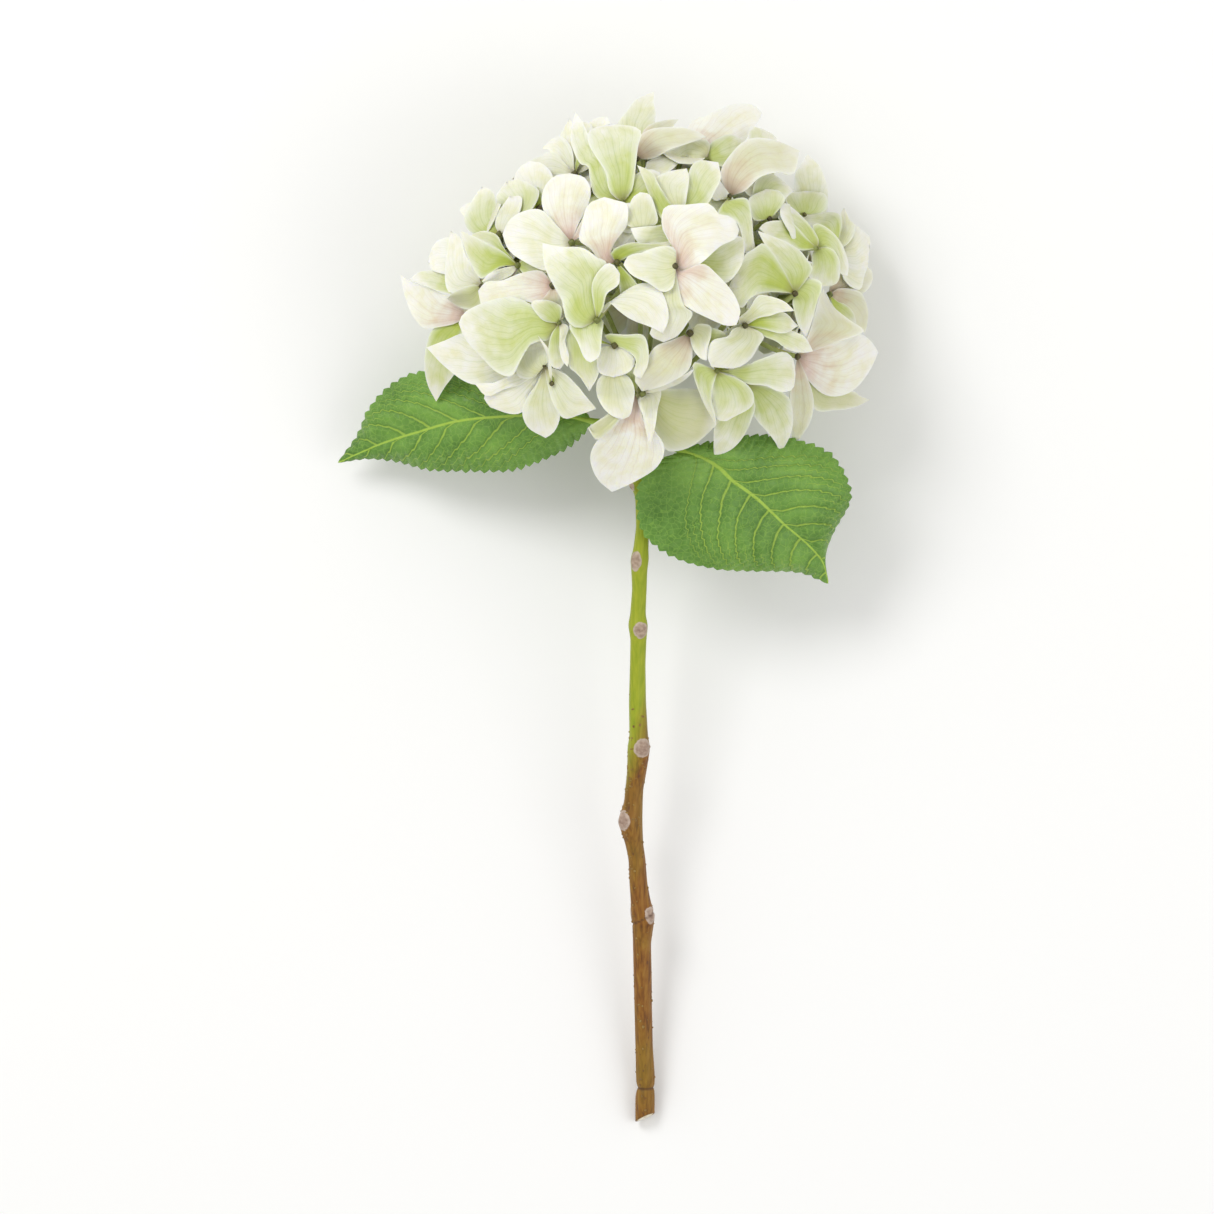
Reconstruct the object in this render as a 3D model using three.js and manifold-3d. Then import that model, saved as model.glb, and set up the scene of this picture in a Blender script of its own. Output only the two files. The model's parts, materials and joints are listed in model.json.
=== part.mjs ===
// A cut mophead hydrangea laid on a table: one woody stem, a flower head of
// broad-sepalled florets fused to their branches, and the two leaves below the head.
// Millimetres. +Y runs along the stem towards the head, +Z up from the table.
import * as THREE from 'three';
import { mergeVertices } from 'three/addons/utils/BufferGeometryUtils.js';
import Module from 'manifold-3d';

const wasm = await Module();
wasm.setup();

// ---- Driving dimensions ---------------------------------------------------
// Plan positions below are measured from the middle of the head; this puts the
// origin under the middle of the whole flower.
const HEAD_PLACE = new THREE.Vector3(13, 123, 0);

// The surface on which the little buds (eyes) of the upper florets lie.
const DOME = {
  halfWidth: 76, halfLength: 66, foot: 60, rise: 70, power: 2.5,
};

const SEPAL_THICKNESS = 0.8;
const SEPAL_ROWS = { broad: [0.3, 0.62, 0.88], narrow: [0.36, 0.76] };
const BROAD_SEPAL = 20;
const SEPAL_ARCH = 0.09;
const SEPAL_FOLD = 0.18;
// A sepal climbs with the dome towards the crown, hangs a little towards the rim, and bends
// up from the eye to the tip by a share of its own rise and a little more.
const CLIMB = 0.9;
const HANG = 0.2;
const BEND = { share: 0.5, more: 3 };
const BUD_RADIUS = 2.2;
const PEDICEL = { foot: 1.0, top: 0.8, sides: 3 };
const RAY = { foot: 2.6, top: 1.7, sides: 5 };
const TABLE_CONTACT = SEPAL_THICKNESS / 2;

const STEM_SIDES = 14;
const STEM_SLOPE = 0.2217;
const STEM_FOOT_HEIGHT = 3.71;
const STEM_TOP_Y = -45;
const STEM_AXIS = new THREE.Vector3(0, 1, STEM_SLOPE).normalize();
const JOINT_GAP = 0.3;

const LEAF_THICKNESS = 0.8;
const PETIOLE = { radius: 1.4, sides: 6, steps: 6 };
const TOOTH = { pitch: 3.8, depth: 1.1, lean: 0.3 };

// Florets drawn one by one, seen from above: [eye, lift above the dome, sepals]. A sepal is
// [rise, left edge, tip, right edge], with the points of both edges from the eye to the tip.
// A floret with no sepals is a bare bud.
const FLORETS = [
  [[12, 13], 2, [
    [-6, [[13, 20], [9, 28], [10, 36], [19, 37], [28, 37.5], [31, 33.5], [37, 32]], [39.5, 27],
      [[16, 10.5], [21, 11.5], [26, 15], [32, 20.5], [38, 23.5]]],
    [-7, [[17, 10.5], [25, 13.5], [31, 9], [37, 2], [40, -5]], [38.5, -10.8],
      [[12, 2], [20, -4.5], [27, -8], [34, -11]]],
    [4, [[14, 8], [13, 3.8], [9, 2.3], [3, 6], [-3, 8.8]], [-6.4, 13],
      [[14, 19.5], [8, 20.3], [1, 18], [-4.5, 16.5]]],
    [-12, [[17, -2], [21, -6], [19, -10], [15, -15]], [9.5, -17.5], [[8, 0], [7, -8], [4, -14.5]]],
  ]],
  [[17, 16], -6, [
    [-6, [[26, 20], [36, 24], [41.2, 24]], [41.6, 18], [[27, 8], [34.5, 6], [40, 12]]],
    [4, [[8, 21.5], [0, 21.5]], [-3.8, 27.6], [[13, 28.2], [4, 28.4]]],
  ]],
  [[-9, 14], -3, [
    [-3, [[-15, 14], [-19.5, 19.5], [-24, 23], [-23, 29], [-20.5, 37]], [-14, 40],
      [[-11.5, 17], [-10, 22], [-5.2, 29], [-5, 37], [-9, 38.6]]],
    [2, [[-11.5, 17.5], [-9, 20], [-3, 22], [5, 21.4], [12, 22.5]], [13.3, 21.3],
      [[-4, 16.5], [2, 18.5], [9, 19.8]]],
    [-3, [[-3, 8], [1, 2.5], [1.4, -1], [0.3, -6]], [-1, -9.3], [[-8, 4], [-7, -2], [-4, -7.5]]],
  ]],
  [[-27, 22], -2, [
    [-8, [[-32, 27], [-37, 32.5], [-39, 38], [-38, 44], [-34, 48.5]], [-28, 49.7],
      [[-24.5, 29], [-20.5, 37.5], [-19.5, 43], [-22, 48]]],
    [-7, [[-33, 13], [-38, 11], [-46, 14.5], [-52, 19]], [-54.5, 25.5],
      [[-33, 29], [-39, 35], [-46, 34.7], [-52, 31]]],
    [2, [[-26, 25], [-23, 31], [-20, 36]], [-16, 38.5], [[-22, 26], [-18, 33]]],
  ]],
  [[-17, -9], 0, [
    [9, [[-24, -12], [-29, -9], [-31, -1], [-34, 4.5], [-38, 13]], [-38.6, 21.8],
      [[-13, 12], [-17, 16], [-23, 19.8], [-31, 20.2]]],
    [4, [[-14.5, -9], [-15, -15], [-16, -23]], [-19.5, -25.8],
      [[-25.5, -8], [-28, -11.5], [-25, -17], [-22, -24]]],
    [7, [[-19, 5], [-14, 13], [-10.5, 13]], [-8, 9.5], [[-14.5, -4], [-13, 1.5], [-8.5, 5]]],
    [-6, [[-8, 1], [0, 5.5], [6, 4.8], [9, 2], [11.2, -4], [11.4, -9]], [9.3, -14.2],
      [[-13, -2], [-8, -5.5], [-3, -8.8], [4, -11.5]]],
  ]],
  [[1, 27], -5, [
    [3, [[-5, 29], [-4.8, 34], [-3, 39.5]], [0, 42], [[7, 30], [6.2, 36], [4, 41]]],
  ]],
  [[15, 35], -5, [
    [1, [[8, 41], [5.5, 47], [12, 50.5]], [18.7, 51.7], [[18, 37], [19, 42], [19.7, 48]]],
    [0, [[18.5, 41], [19.6, 50], [23, 54.8]], [31.3, 54.2], [[26, 37], [30.5, 43.5], [32.4, 48]]],
    [2, [[9, 31]], [-1, 53], [[12, 38], [8, 44.5], [5, 50]]],
  ]],
  [[-7, 38], -3, [
    [-8, [[-12, 42.5], [-13.5, 50], [-17.5, 56.5], [-20.4, 62], [-20, 67]], [-12, 69.6],
      [[-3, 43], [-1.6, 52], [-0.6, 61], [0.8, 66.2], [-3, 68.7]]],
    [-11, [[-17, 40], [-19.7, 47], [-20.5, 52.5], [-24, 54], [-27.3, 62], [-27, 69]], [-25.6, 74.6],
      [[-10, 43], [-14, 52], [-19, 62], [-22.5, 70]]],
  ]],
  [[-26, 50], -14, [
    [-6, [[-34, 49], [-42, 46], [-46.5, 47]], [-47.3, 50.5], [[-34, 58.5], [-40, 57.2], [-44, 54.8]]],
    [-9, [[-33, 53], [-33.5, 61], [-31, 67]], [-28, 72.5], [[-23, 57], [-25.5, 67]]],
    [-8, [[-33, 55], [-36, 59.5]], [-38.6, 60.3], [[-27, 60], [-31.5, 65.3], [-36, 63.3]]],
    [-10, [[-25, 60], [-25, 67], [-24, 70.7]], [-20.5, 71], [[-20, 62], [-18.8, 68.5]]],
  ]],
  [[0, 64], -6, [
    [-9, [[-8.5, 69.5], [-5.3, 75], [-1.5, 80]], [5.9, 83.4], [[5, 68], [6.5, 73.5], [5.9, 78]]],
    [-10, [[3, 69], [9, 71.6]], [15.6, 72.2], [[8, 66], [13, 69]]],
  ]],
  [[-1, 56], -5, [
    [1, [[-1.6, 60], [0, 65], [5, 68], [13, 68.6], [21, 67.8]], [26.6, 64.8],
      [[5, 56], [12, 59.5], [19, 62]]],
  ]],
  [[27, 56], -8, [
    [-10, [[19, 64], [19, 69], [24, 72], [31, 75.8], [38, 78.3], [45, 78.3]], [49, 75],
      [[35, 56], [40, 60], [43.5, 65.5], [48, 72]]],
    [-2, [[21, 55], [18.5, 57.3], [13, 51.6], [8, 48.8]], [4.3, 47.2],
      [[28, 63], [22, 63.6], [14, 60.4], [7, 56.8], [2.3, 53.5]]],
    [-12, [[28, 62], [36, 66]], [44, 62], [[33, 53], [40, 56]]],
  ]],
  [[36, 41], -3, [
    [-8, [[33, 46], [32.4, 51], [35, 56], [41, 62.5], [47, 64.5], [56, 63]], [64, 59.3],
      [[42, 43], [48, 48.5], [55, 50.5], [61.5, 50]]],
    [1, [[35, 38.9], [42.5, 40], [44.6, 33], [45.3, 24]], [46.8, 16.2],
      [[31, 34], [35, 32.5], [39, 30], [41, 24], [41.5, 18.5]]],
    [3, [[30, 39], [29, 42.5]], [32.2, 47], [[37.5, 39.5], [34.5, 43.5]]],
  ]],
  [[52, 32], -8, [
    [-1, [[46, 31.3], [44, 36], [44, 40.5]], [50.5, 43.8], [[55, 35], [58, 39.5], [56, 43]]],
    [-4, [[46, 40], [45.5, 45], [48, 49], [53, 50]], [61.7, 43.7], [[55, 36], [58.5, 40.5]]],
    [-12, [[44, 62], [45.6, 69]], [51, 67.2], [[54, 52], [55, 64]]],
  ]],
  [[66, 34], -9, [
    [-8, [[62.5, 40], [62, 47], [62.7, 51], [65.4, 55.5]], [67, 58.6],
      [[74.5, 35], [75.5, 41], [75, 46.5], [71.8, 54]]],
    [-1, [[61, 36], [58, 40], [60, 42.5]], [67, 43.4], [[73, 35], [75.3, 38], [74, 42.4]]],
  ]],
  [[62, 2], 0, [
    [5, [[59, 6], [55.5, 12], [52, 18], [49.3, 22.5]], [47.2, 26.8],
      [[66, 7], [68.8, 12], [66.5, 16], [63, 20], [56, 23.6]]],
    [-3, [[66, 8], [72.8, 6.2], [70.7, -2], [69, -8]], [66.4, -15.3],
      [[61, -1], [61.7, -5], [63.2, -10.5]]],
    [-9, [[52, 2.5], [45, 0.5], [40, -4]], [35, 3], [[57, 12], [50, 21.5], [46, 20], [41, 16]]],
  ]],
  [[71, 20.5], -5, [
    [4, [[67, 23], [62, 29], [55.5, 32]], [57.5, 38.7], [[71.5, 24], [69, 28.5], [65, 33], [60.5, 37]]],
    [2, [[64, 19.5], [58, 22.8], [52, 24.5]], [47.6, 28],
      [[66, 25], [61, 30.3], [55, 31.3], [50, 30.3]]],
    [-1, [[69, 28], [70.5, 30.6], [76, 28], [80.5, 23], [83.5, 15]], [83.2, 9.6],
      [[75, 20], [79, 18], [79.8, 11]]],
    [0, [[76, 20.6], [79.5, 17], [80.2, 11], [78.5, 6.3]], [72, 5], [[69, 18], [68.7, 13], [67, 8.6]]],
  ]],
  [[79, 20], -9, [
    [-9, [[82, 27], [86, 30.3], [90, 27.6], [92.2, 25.5]], [92.6, 22.5],
      [[82, 8], [88, 4], [90, 9.5], [91.5, 13.5], [91.6, 17]]],
    [-2, [[77, 27], [79.5, 33]], [82, 37], [[84, 23], [86.5, 29], [84, 33]]],
    [-4, [[74, 28], [66, 30.5]], [63, 33.8], [[81, 33], [75, 35.4], [68, 35.3]]],
  ]],
  [[76, 2], -11, [
    [-6, [[80, 4.6], [87.5, 3.7], [90.6, 0], [91.7, -6]], [90.3, -13.4],
      [[79, -4], [84, -7.5], [87, -11]]],
    [1, [[79, -0.5], [83, -2.2], [86, -6]], [86.8, -11], [[78, -4.5], [82, -7.5]]],
  ]],
  [[63, -23], 0, [
    [-4, [[67, -15], [69.5, -7], [71.5, 0]], [73.5, 4.5],
      [[78, -17.5], [89.5, -13], [84, -8.5], [77.5, -3]]],
    [-8, [[70, -18], [80, -16], [88, -13.8], [93, -17.2]], [95.5, -21],
      [[66, -30.5], [72.5, -37.3], [79, -38.8], [86, -35.8], [92, -28.5]]],
    [-9, [[66.3, -30], [69, -37], [69.5, -43], [67.5, -50.5]], [61, -59.4],
      [[61.3, -32], [60, -38.5], [60.5, -46]]],
    [-14, [[75, -34], [85, -36.3], [88, -38.3]], [92.2, -40], [[69, -42.8], [78, -44.2], [86, -43]]],
  ]],
  [[42, -11], 0, [
    [1, [[39, -8.5], [43, -5], [46, -0.5], [48.5, 1.3], [57, -1]], [61.7, -5],
      [[47, -8], [52, -7], [56, -5.6]]],
    [-6, [[48, -10.3], [55, -11], [62, -13.5], [66, -15.5]], [69, -21],
      [[49, -15], [54, -17], [59, -20.3], [65, -21.6]]],
    [3, [[47, -13], [49.5, -15.3], [47, -19.5], [44, -24.3], [38, -27.8]], [28.5, -27.3],
      [[37, -12.3], [35, -15.3], [29, -17], [26.8, -22.5]]],
    [-9, [[48, -6.5], [57, -5.5]], [63, -11], [[48, -12], [57, -14]]],
  ]],
  [[31, -29], -3, [
    [-6, [[39, -27.8], [48, -24.3], [57, -21.3], [61, -24]], [62, -30],
      [[37, -30.7], [43, -34], [50, -34.7], [56, -37.2], [61, -36]]],
    [-7, [[38, -31.5], [43, -34.5], [45.5, -39], [44, -43.5]], [34.5, -48.8],
      [[29, -33], [29, -41], [31, -48]]],
    [-8, [[29.5, -34], [28.6, -40], [30, -46]], [30.5, -50.5],
      [[22, -25.5], [21.5, -30.5], [24, -38], [28, -46.3]]],
  ]],
  [[42, -34], -7, [
    [-12, [[50, -34.8], [58.3, -38], [61, -44], [60.6, -53]], [56.2, -61.9],
      [[45, -41], [45.5, -46.5], [50.5, -52.5], [54.5, -57.5]]],
    [-8, [[46, -42], [45, -47], [42, -54], [37, -59.7]], [29.9, -63],
      [[35, -42], [30.2, -49], [29.6, -57]]],
  ]],
  [[20, -14], -8, [
    [1, [[23, -10.5], [28, -11], [28.4, -15], [27, -20]], [26.6, -24.9],
      [[20.3, -17], [21.5, -20.8], [24, -23.8]]],
    [-6, [[21, -22], [19, -29], [10, -34.6]], [1, -37], [[12, -17], [6, -19.5], [2, -26], [-2, -32]]],
  ]],
  [[1, -38], -12, [
    [-8, [[8, -36.3], [16, -36], [24, -36.5], [28, -43]], [30.4, -50.5],
      [[5, -51], [10, -59.7], [15, -60.6], [22, -58]]],
    [6, [[8.3, -36.5], [7.2, -44], [6, -52]], [4, -58.5], [[-0.7, -41], [1.3, -47], [2.8, -54]]],
    [5, [[8, -34.3], [15, -31.5]], [21.6, -28.4], [[9, -36.6], [16, -33.8], [20, -30.6]]],
  ]],
  [[-2, -38], -3, [
    [-9, [[0, -42], [1.5, -48.5], [6, -53], [9.9, -59.5], [7, -67], [-2, -73]], [-11, -77],
      [[-4, -44], [-9.5, -49], [-16, -55.5], [-19.7, -63], [-17, -71.5]]],
    [-8, [[-9, -49.5], [-13, -53.8], [-17.4, -56.2]], [-20.5, -51.5], [[-7, -42.5], [-13, -46.3]]],
  ]],
  [[-10, -19], -6, [
    [-2, [[-14, -14.5], [-6, -14.7], [1, -14.6], [3.3, -19], [3.3, -26.5]], [0.3, -32.2],
      [[-5, -21], [-1.5, -25], [-2.5, -30]]],
    [-3, [[-5, -21], [-2, -25], [-4, -29.3]], [-10, -31.5], [[-15.5, -20], [-17, -25], [-15.7, -30]]],
    [-7, [[-20, -18], [-16, -25], [-16.6, -31]], [-20, -37],
      [[-28, -12], [-28.8, -20], [-28, -27.5], [-24, -31]]],
  ]],
  [[-10, -29], -6, [
    [-4, [[-4.5, -31.3], [-2, -36.5], [-2.8, -43], [-4.2, -47]], [-7.5, -48.2],
      [[-16, -31.5], [-17.2, -37], [-15, -43], [-11, -46.8]]],
  ]],
  [[-38, -27], 0, [
    [-8, [[-35, -35], [-33, -41], [-31.8, -47.5], [-34, -53]], [-37.4, -55.5],
      [[-41, -34], [-44.5, -39], [-46.8, -45], [-44.5, -51.3]]],
    [-4, [[-31, -29.3], [-25.5, -34], [-21, -39.5]], [-17, -44],
      [[-36.5, -35], [-34, -43], [-30, -47.8], [-24, -46.3]]],
    [-7, [[-43, -37], [-46, -44.5], [-51, -46]], [-59.5, -43.2],
      [[-46, -33], [-54, -35.3], [-60, -36.3], [-62, -39.5]]],
    [-2, [[-43, -31.8], [-48.5, -30.8], [-48.8, -24], [-45.5, -18.3]], [-40.5, -15.3],
      [[-35.6, -23.5], [-37.6, -18.5]]],
    [-5, [[-47, -34], [-54, -36.2], [-61, -38.8]], [-65.5, -34],
      [[-47, -29.5], [-52, -31], [-58, -33.5]]],
  ]],
  [[-35, -34], 3, [
    [1, [[-36.2, -28.5], [-37, -22]], [-40.3, -15.2], [[-35, -28], [-35.9, -21]]],
  ]],
  [[-32, -10], -2, [
    [-8, [[-36, -16.5], [-43, -18], [-47.5, -25], [-51, -31], [-57, -29.3], [-63, -23.3], [-69, -16.7]],
      [-72, -10], [[-42, -3.3], [-51, 0.4], [-61, -1.4], [-69.5, -5.5]]],
    [2, [[-28.3, -11.5], [-29.6, -17], [-28.2, -23]], [-28.6, -27.3],
      [[-31.7, -13], [-31.9, -20], [-30.8, -24.7]]],
    [-6, [[-30.8, -17], [-29.6, -24]], [-31.5, -28.3], [[-35.3, -15], [-36.3, -21], [-35, -27]]],
    [-5, [[-38, -9], [-42, -5], [-43, -2]], [-41, -1], [[-31, -4], [-36, -1]]],
  ]],
  [[-48, -23], -8, [
    [-7, [[-53, -31.3], [-59, -33.3], [-65, -34.3], [-71, -32.2], [-79, -25.7]], [-85, -19.3],
      [[-58, -15], [-70, -13.8], [-78, -16.7]]],
  ]],
  [[-69, -7], -8, [
    [-6, [[-74, -9.8], [-82, -11.3], [-86.5, -11.3], [-91, -6], [-94, 2]], [-95.6, 10],
      [[-71, -2.5], [-77, 1.2], [-84, 4.6], [-91, 7]]],
    [-14, [[-73, -20], [-73.5, -28.5], [-78, -35]], [-81.3, -40.6],
      [[-79, -10], [-83.3, -12.8], [-85.6, -20], [-86, -27.5], [-84.5, -34.5]]],
  ]],
  [[-63, 5], -13, [
    [-2, [[-69, 4], [-76, 2.7], [-77.7, 10], [-76.7, 20]], [-75.4, 27.3],
      [[-65, 11], [-69, 17], [-71.5, 24.5]]],
    [-5, [[-73, 9], [-79, 10.3], [-83, 11.8]], [-84.6, 15], [[-74, 23], [-79.5, 24], [-82.7, 21]]],
    [-6, [[-72, 2], [-80, 3.3], [-87, 6]], [-92, 8], [[-74, 9.5], [-82, 11.5], [-88, 11]]],
    [1, [[-64, -3.8], [-71, -3.5]], [-77, 0.3], [[-67, 5.6], [-74, 2.8]]],
  ]],
  [[-34.5, 5], -5, [
    [-7, [[-38, -2], [-48, -0.8], [-56, -1], [-62.5, -3]], [-64.3, 3],
      [[-39, 10.7], [-47, 10], [-55, 7], [-61, 6.7]]],
    [-5, [[-31, 0], [-29, -5.5]], [-31, -9], [[-37, 1.5], [-40, -3], [-36, -7.5]]],
  ]],
  [[-48.5, 13], -2, [
    [-4, [[-55, 12.7], [-60, 9.5], [-63.5, 8], [-67, 13.3], [-70, 21]], [-71.5, 27],
      [[-54, 18.3], [-61, 22.2], [-67, 25.3]]],
    [-1, [[-51, 9.3], [-56, 7], [-60, 5.8]], [-62.7, 6.8], [[-55, 12], [-60, 9.8]]],
    [-9, [[-58, 20.5], [-64, 23.5]], [-68, 25], [[-54, 20], [-57, 25.3], [-62.5, 27]]],
    [-4, [[-45, 17], [-40, 15]], [-36, 10], [[-46, 9.8], [-41, 9.5]]],
  ]],
  [[-56, 26], -9, [
    [-7, [[-66, 26], [-70, 31.5], [-67.5, 38.3]], [-63, 45], [[-56.8, 31], [-56.8, 38], [-58.8, 43.2]]],
    [-8, [[-62, 28], [-69.5, 32.5]], [-72, 35.7], [[-65, 38], [-70, 37.8]]],
    [2, [[-57.6, 30], [-56, 35]], [-52, 40.8], [[-52, 28], [-48, 34], [-47, 40.5]]],
    [-3, [[-54, 35], [-56, 38], [-57.3, 41]], [-53.5, 46.6],
      [[-45, 33], [-40, 42], [-44, 46], [-49.5, 47.8]]],
  ]],
  [[-40, 36], -9, []],
];

// Florets of the hidden underside, set round the head in rings that leave out the
// side where the stem comes in. Angles run round the head from the right, in degrees.
const UNDERSIDE = {
  rings: [
    { count: 6, from: -8, to: 188, drop: 0.34 },
    { count: 3, from: 8, to: 172, drop: 0.84 },
    { count: 1, from: 262, to: 262, drop: 0.985 },
  ],
  halfWidth: 66, halfLength: 50, depth: 54,
  middle: new THREE.Vector3(0, 8, 57),
  sepalLength: 27, sepalWidth: 19, sepals: 4, bendBack: 0.1,
};
// The lowest sepals are pressed flat on the table by the weight of the head.
const PRESSED = { below: 9, arch: 0.17 };

// Ends of the rays, inside the head.
const RAY_ENDS = [
  [0, 12, 98], [-36, -8, 86], [36, -8, 88], [-30, 24, 82], [34, 26, 84],
  [0, 46, 82], [2, -22, 90], [-30, 8, 40], [32, 8, 40], [0, 34, 40],
];
const RAY_HUB = { length: 3.4, foot: 3.1, top: 3.9, sides: 8 };

// Stem: [distance along, sideways place, radius], from the cut foot to the top.
const STEM_ROWS = [
  [-328, 2.3, 3.9], [-320, 2.3, 3.9], [-317.4, 2.5, 3.7], [-316, 2.6, 3.2], [-314.6, 2.5, 3.7],
  [-311, 2.4, 3.8], [-300, 1.9, 3.5], [-284, 1.5, 3.5], [-272, 1.3, 3.6], [-258, 1.0, 3.6],
  [-251, 1.4, 4.2], [-246, 1.3, 4.5], [-241, 0.5, 4.0], [-234, -0.4, 3.6], [-224, -1.0, 3.4],
  [-218, -2.1, 3.6], [-213, -3.0, 4.3], [-209, -3.4, 4.6], [-205, -3.0, 4.2], [-201, -2.4, 3.7],
  [-196, -2.1, 3.6], [-190, -1.2, 3.8], [-184, -0.6, 4.2], [-179.5, -0.3, 4.4], [-175, -0.3, 3.7],
  [-161, -0.8, 3.4], [-146, -0.7, 3.1], [-136, -0.4, 3.2], [-130, -0.6, 3.9], [-126, -0.6, 3.1],
  [-116, 0, 2.9], [-108, 0, 3.2], [-104, 0.2, 3.6], [-100, 0.6, 3.0], [-91, 1.3, 2.6],
  [-80, 1.1, 2.7], [-74, 0.2, 3.0], [-66, 0.4, 3.0], [-58, 0.4, 3.1], [-54, 0.4, 3.7],
  [-50, 0.4, 3.2], [-45, 0.4, 3.1],
];
const FOOT_SLANT = 3.4;

// Leaf scars and buds on the stem: [distance along, angle round (0 = right, 90 = up),
// height, half length, half angle].
const STEM_SCARS = [
  [-104, 160, 0.9, 3.4, 38], [-131.6, 70, 0.8, 2.8, 40], [-178.8, 60, 0.9, 3.2, 42],
  [-208, 165, 1.1, 3.6, 34], [-246, 20, 1.0, 3.6, 34], [-74.4, 175, 1.6, 1.7, 34],
  [-179, 245, 0.7, 3.0, 40], [-131, 250, 0.7, 2.8, 40], [-246, 200, 0.6, 3.0, 36],
];

// Leaves: each edge and the midrib as points from the petiole to the tip.
const LEAVES = {
  leaf_left: {
    petiole: [[-4.6, -54.4, 64.4], [-11, -50, 60], [-19, -48.6, 57], [-25, -47.6, 56]],
    midrib: [
      [-19, -48.6, 57], [-32, -46.5, 56], [-51, -46.5, 52], [-72, -48.4, 44],
      [-89, -53, 34], [-102, -57, 26], [-113, -61.5, 19], [-121, -65, 14],
    ],
    left: [
      [-19, -48.6, 57], [-22, -53, 54], [-29, -59, 50], [-38, -63.5, 47], [-52, -68, 41],
      [-72, -68.2, 35], [-85, -67.6, 29], [-98, -64.2, 23], [-110, -63.4, 18], [-121, -65, 14],
    ],
    right: [
      [-19, -48.6, 57], [-24, -43, 55], [-36, -37, 52], [-52, -31, 47], [-70, -28.5, 41],
      [-86, -28.5, 35], [-98, -33, 29], [-108, -43, 23], [-113, -54, 18], [-121, -65, 14],
    ],
    bulge: 3,
  },
  leaf_right: {
    petiole: [[4.6, -56, 65.5], [10, -57.5, 70], [17, -61, 72.5], [22, -62.4, 72.6]],
    midrib: [
      [17, -61, 72.5], [25, -63.4, 72.5], [32, -67.4, 71], [37.5, -72.6, 69], [47, -79.6, 65],
      [58, -90, 58], [67, -97.6, 51], [73.4, -105, 45], [75.6, -113.6, 40],
    ],
    left: [
      [17, -61, 72.5], [20.4, -59, 72], [37.6, -55.4, 70.5], [52, -54.4, 65], [64, -56.6, 60],
      [76, -61.6, 57], [83, -72, 55], [84, -81, 51], [77.6, -93, 46], [74.4, -103, 42.5],
      [75.6, -113.6, 40],
    ],
    right: [
      [17, -61, 72.5], [8, -64.4, 71], [1.4, -71, 70], [-1, -80, 68], [2, -94, 64.5],
      [15, -103.4, 61], [31, -107.6, 56], [46, -108.4, 51], [64, -109, 44], [75.6, -113.6, 40],
    ],
    bulge: 3,
  },
};

const COLOURS = {
  stem: 0x8a7a2c, flower_head: 0xe2e6c4, leaf_left: 0x5f9138, leaf_right: 0x648f34,
};

// ---- Small helpers --------------------------------------------------------
const UP = new THREE.Vector3(0, 0, 1);

function noise(seed) {
  const value = Math.sin(seed * 12.9898 + 4.137) * 43758.5453;
  return value - Math.floor(value);
}

function vector([x, y, z]) {
  return new THREE.Vector3(x, y, z);
}

function domeHeight(x, y) {
  const reach = Math.hypot(x / DOME.halfWidth, y / DOME.halfLength);
  return DOME.foot + DOME.rise * (1 - reach ** DOME.power);
}

function skin(vertices, index) {
  const geometry = new THREE.BufferGeometry();
  geometry.setAttribute('position', new THREE.Float32BufferAttribute(vertices, 3));
  geometry.setIndex(index);
  return geometry;
}

function toSolid(geometry) {
  geometry.deleteAttribute('normal');
  geometry.deleteAttribute('uv');
  const welded = mergeVertices(geometry, 1e-4);
  return new wasm.Manifold(new wasm.Mesh({
    numProp: 3,
    vertProperties: new Float32Array(welded.getAttribute('position').array),
    triVerts: new Uint32Array(welded.getIndex().array),
  }));
}

function toGeometry(solid) {
  const mesh = solid.getMesh();
  const geometry = skin([...mesh.vertProperties], [...mesh.triVerts]);
  geometry.computeVertexNormals();
  return geometry;
}

// Joins the solids and keeps the one large body: a scrap or a sealed hollow is left out.
function fuse(solids) {
  const joined = solids.reduce((whole, solid) => whole.add(solid));
  const bodies = joined.decompose();
  return bodies.reduce((largest, body) => (body.volume() > largest.volume() ? body : largest));
}

// Gives a sheet of triangles its thickness: the same triangles on both faces and
// a wall along every open edge.
function thicken(points, normals, triangles, thickness) {
  const vertices = [];
  for (const side of [0.5, -0.5]) {
    points.forEach((point, i) => {
      vertices.push(...point.clone().addScaledVector(normals[i], side * thickness).toArray());
    });
  }
  const index = [];
  const openEdges = new Map();
  for (const [a, b, c] of triangles) {
    index.push(a, b, c);
    index.push(a + points.length, c + points.length, b + points.length);
    for (const [from, to] of [[a, b], [b, c], [c, a]]) {
      if (!openEdges.delete(`${to} ${from}`)) openEdges.set(`${from} ${to}`, [from, to]);
    }
  }
  for (const [from, to] of openEdges.values()) {
    index.push(to, from, from + points.length);
    index.push(to, from + points.length, to + points.length);
  }
  return skin(vertices, index);
}

function rod(from, to, footRadius, topRadius, sides) {
  const along = to.clone().sub(from);
  const geometry = new THREE.CylinderGeometry(topRadius, footRadius, along.length(), sides);
  const turn = new THREE.Quaternion().setFromUnitVectors(
    new THREE.Vector3(0, 1, 0), along.clone().normalize());
  geometry.applyQuaternion(turn);
  geometry.translate(...from.clone().add(to).multiplyScalar(0.5).toArray());
  return geometry;
}

// ---- Flower head ----------------------------------------------------------
// Half width of a sepal along its length: a narrow claw, widest past the middle,
// and a short point.
function sepalHalfWidth(t, width) {
  const claw = t ** 0.72;
  const tip = (1 - t) ** 0.55;
  return width * 0.5 * claw * tip / 0.482;
}

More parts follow.
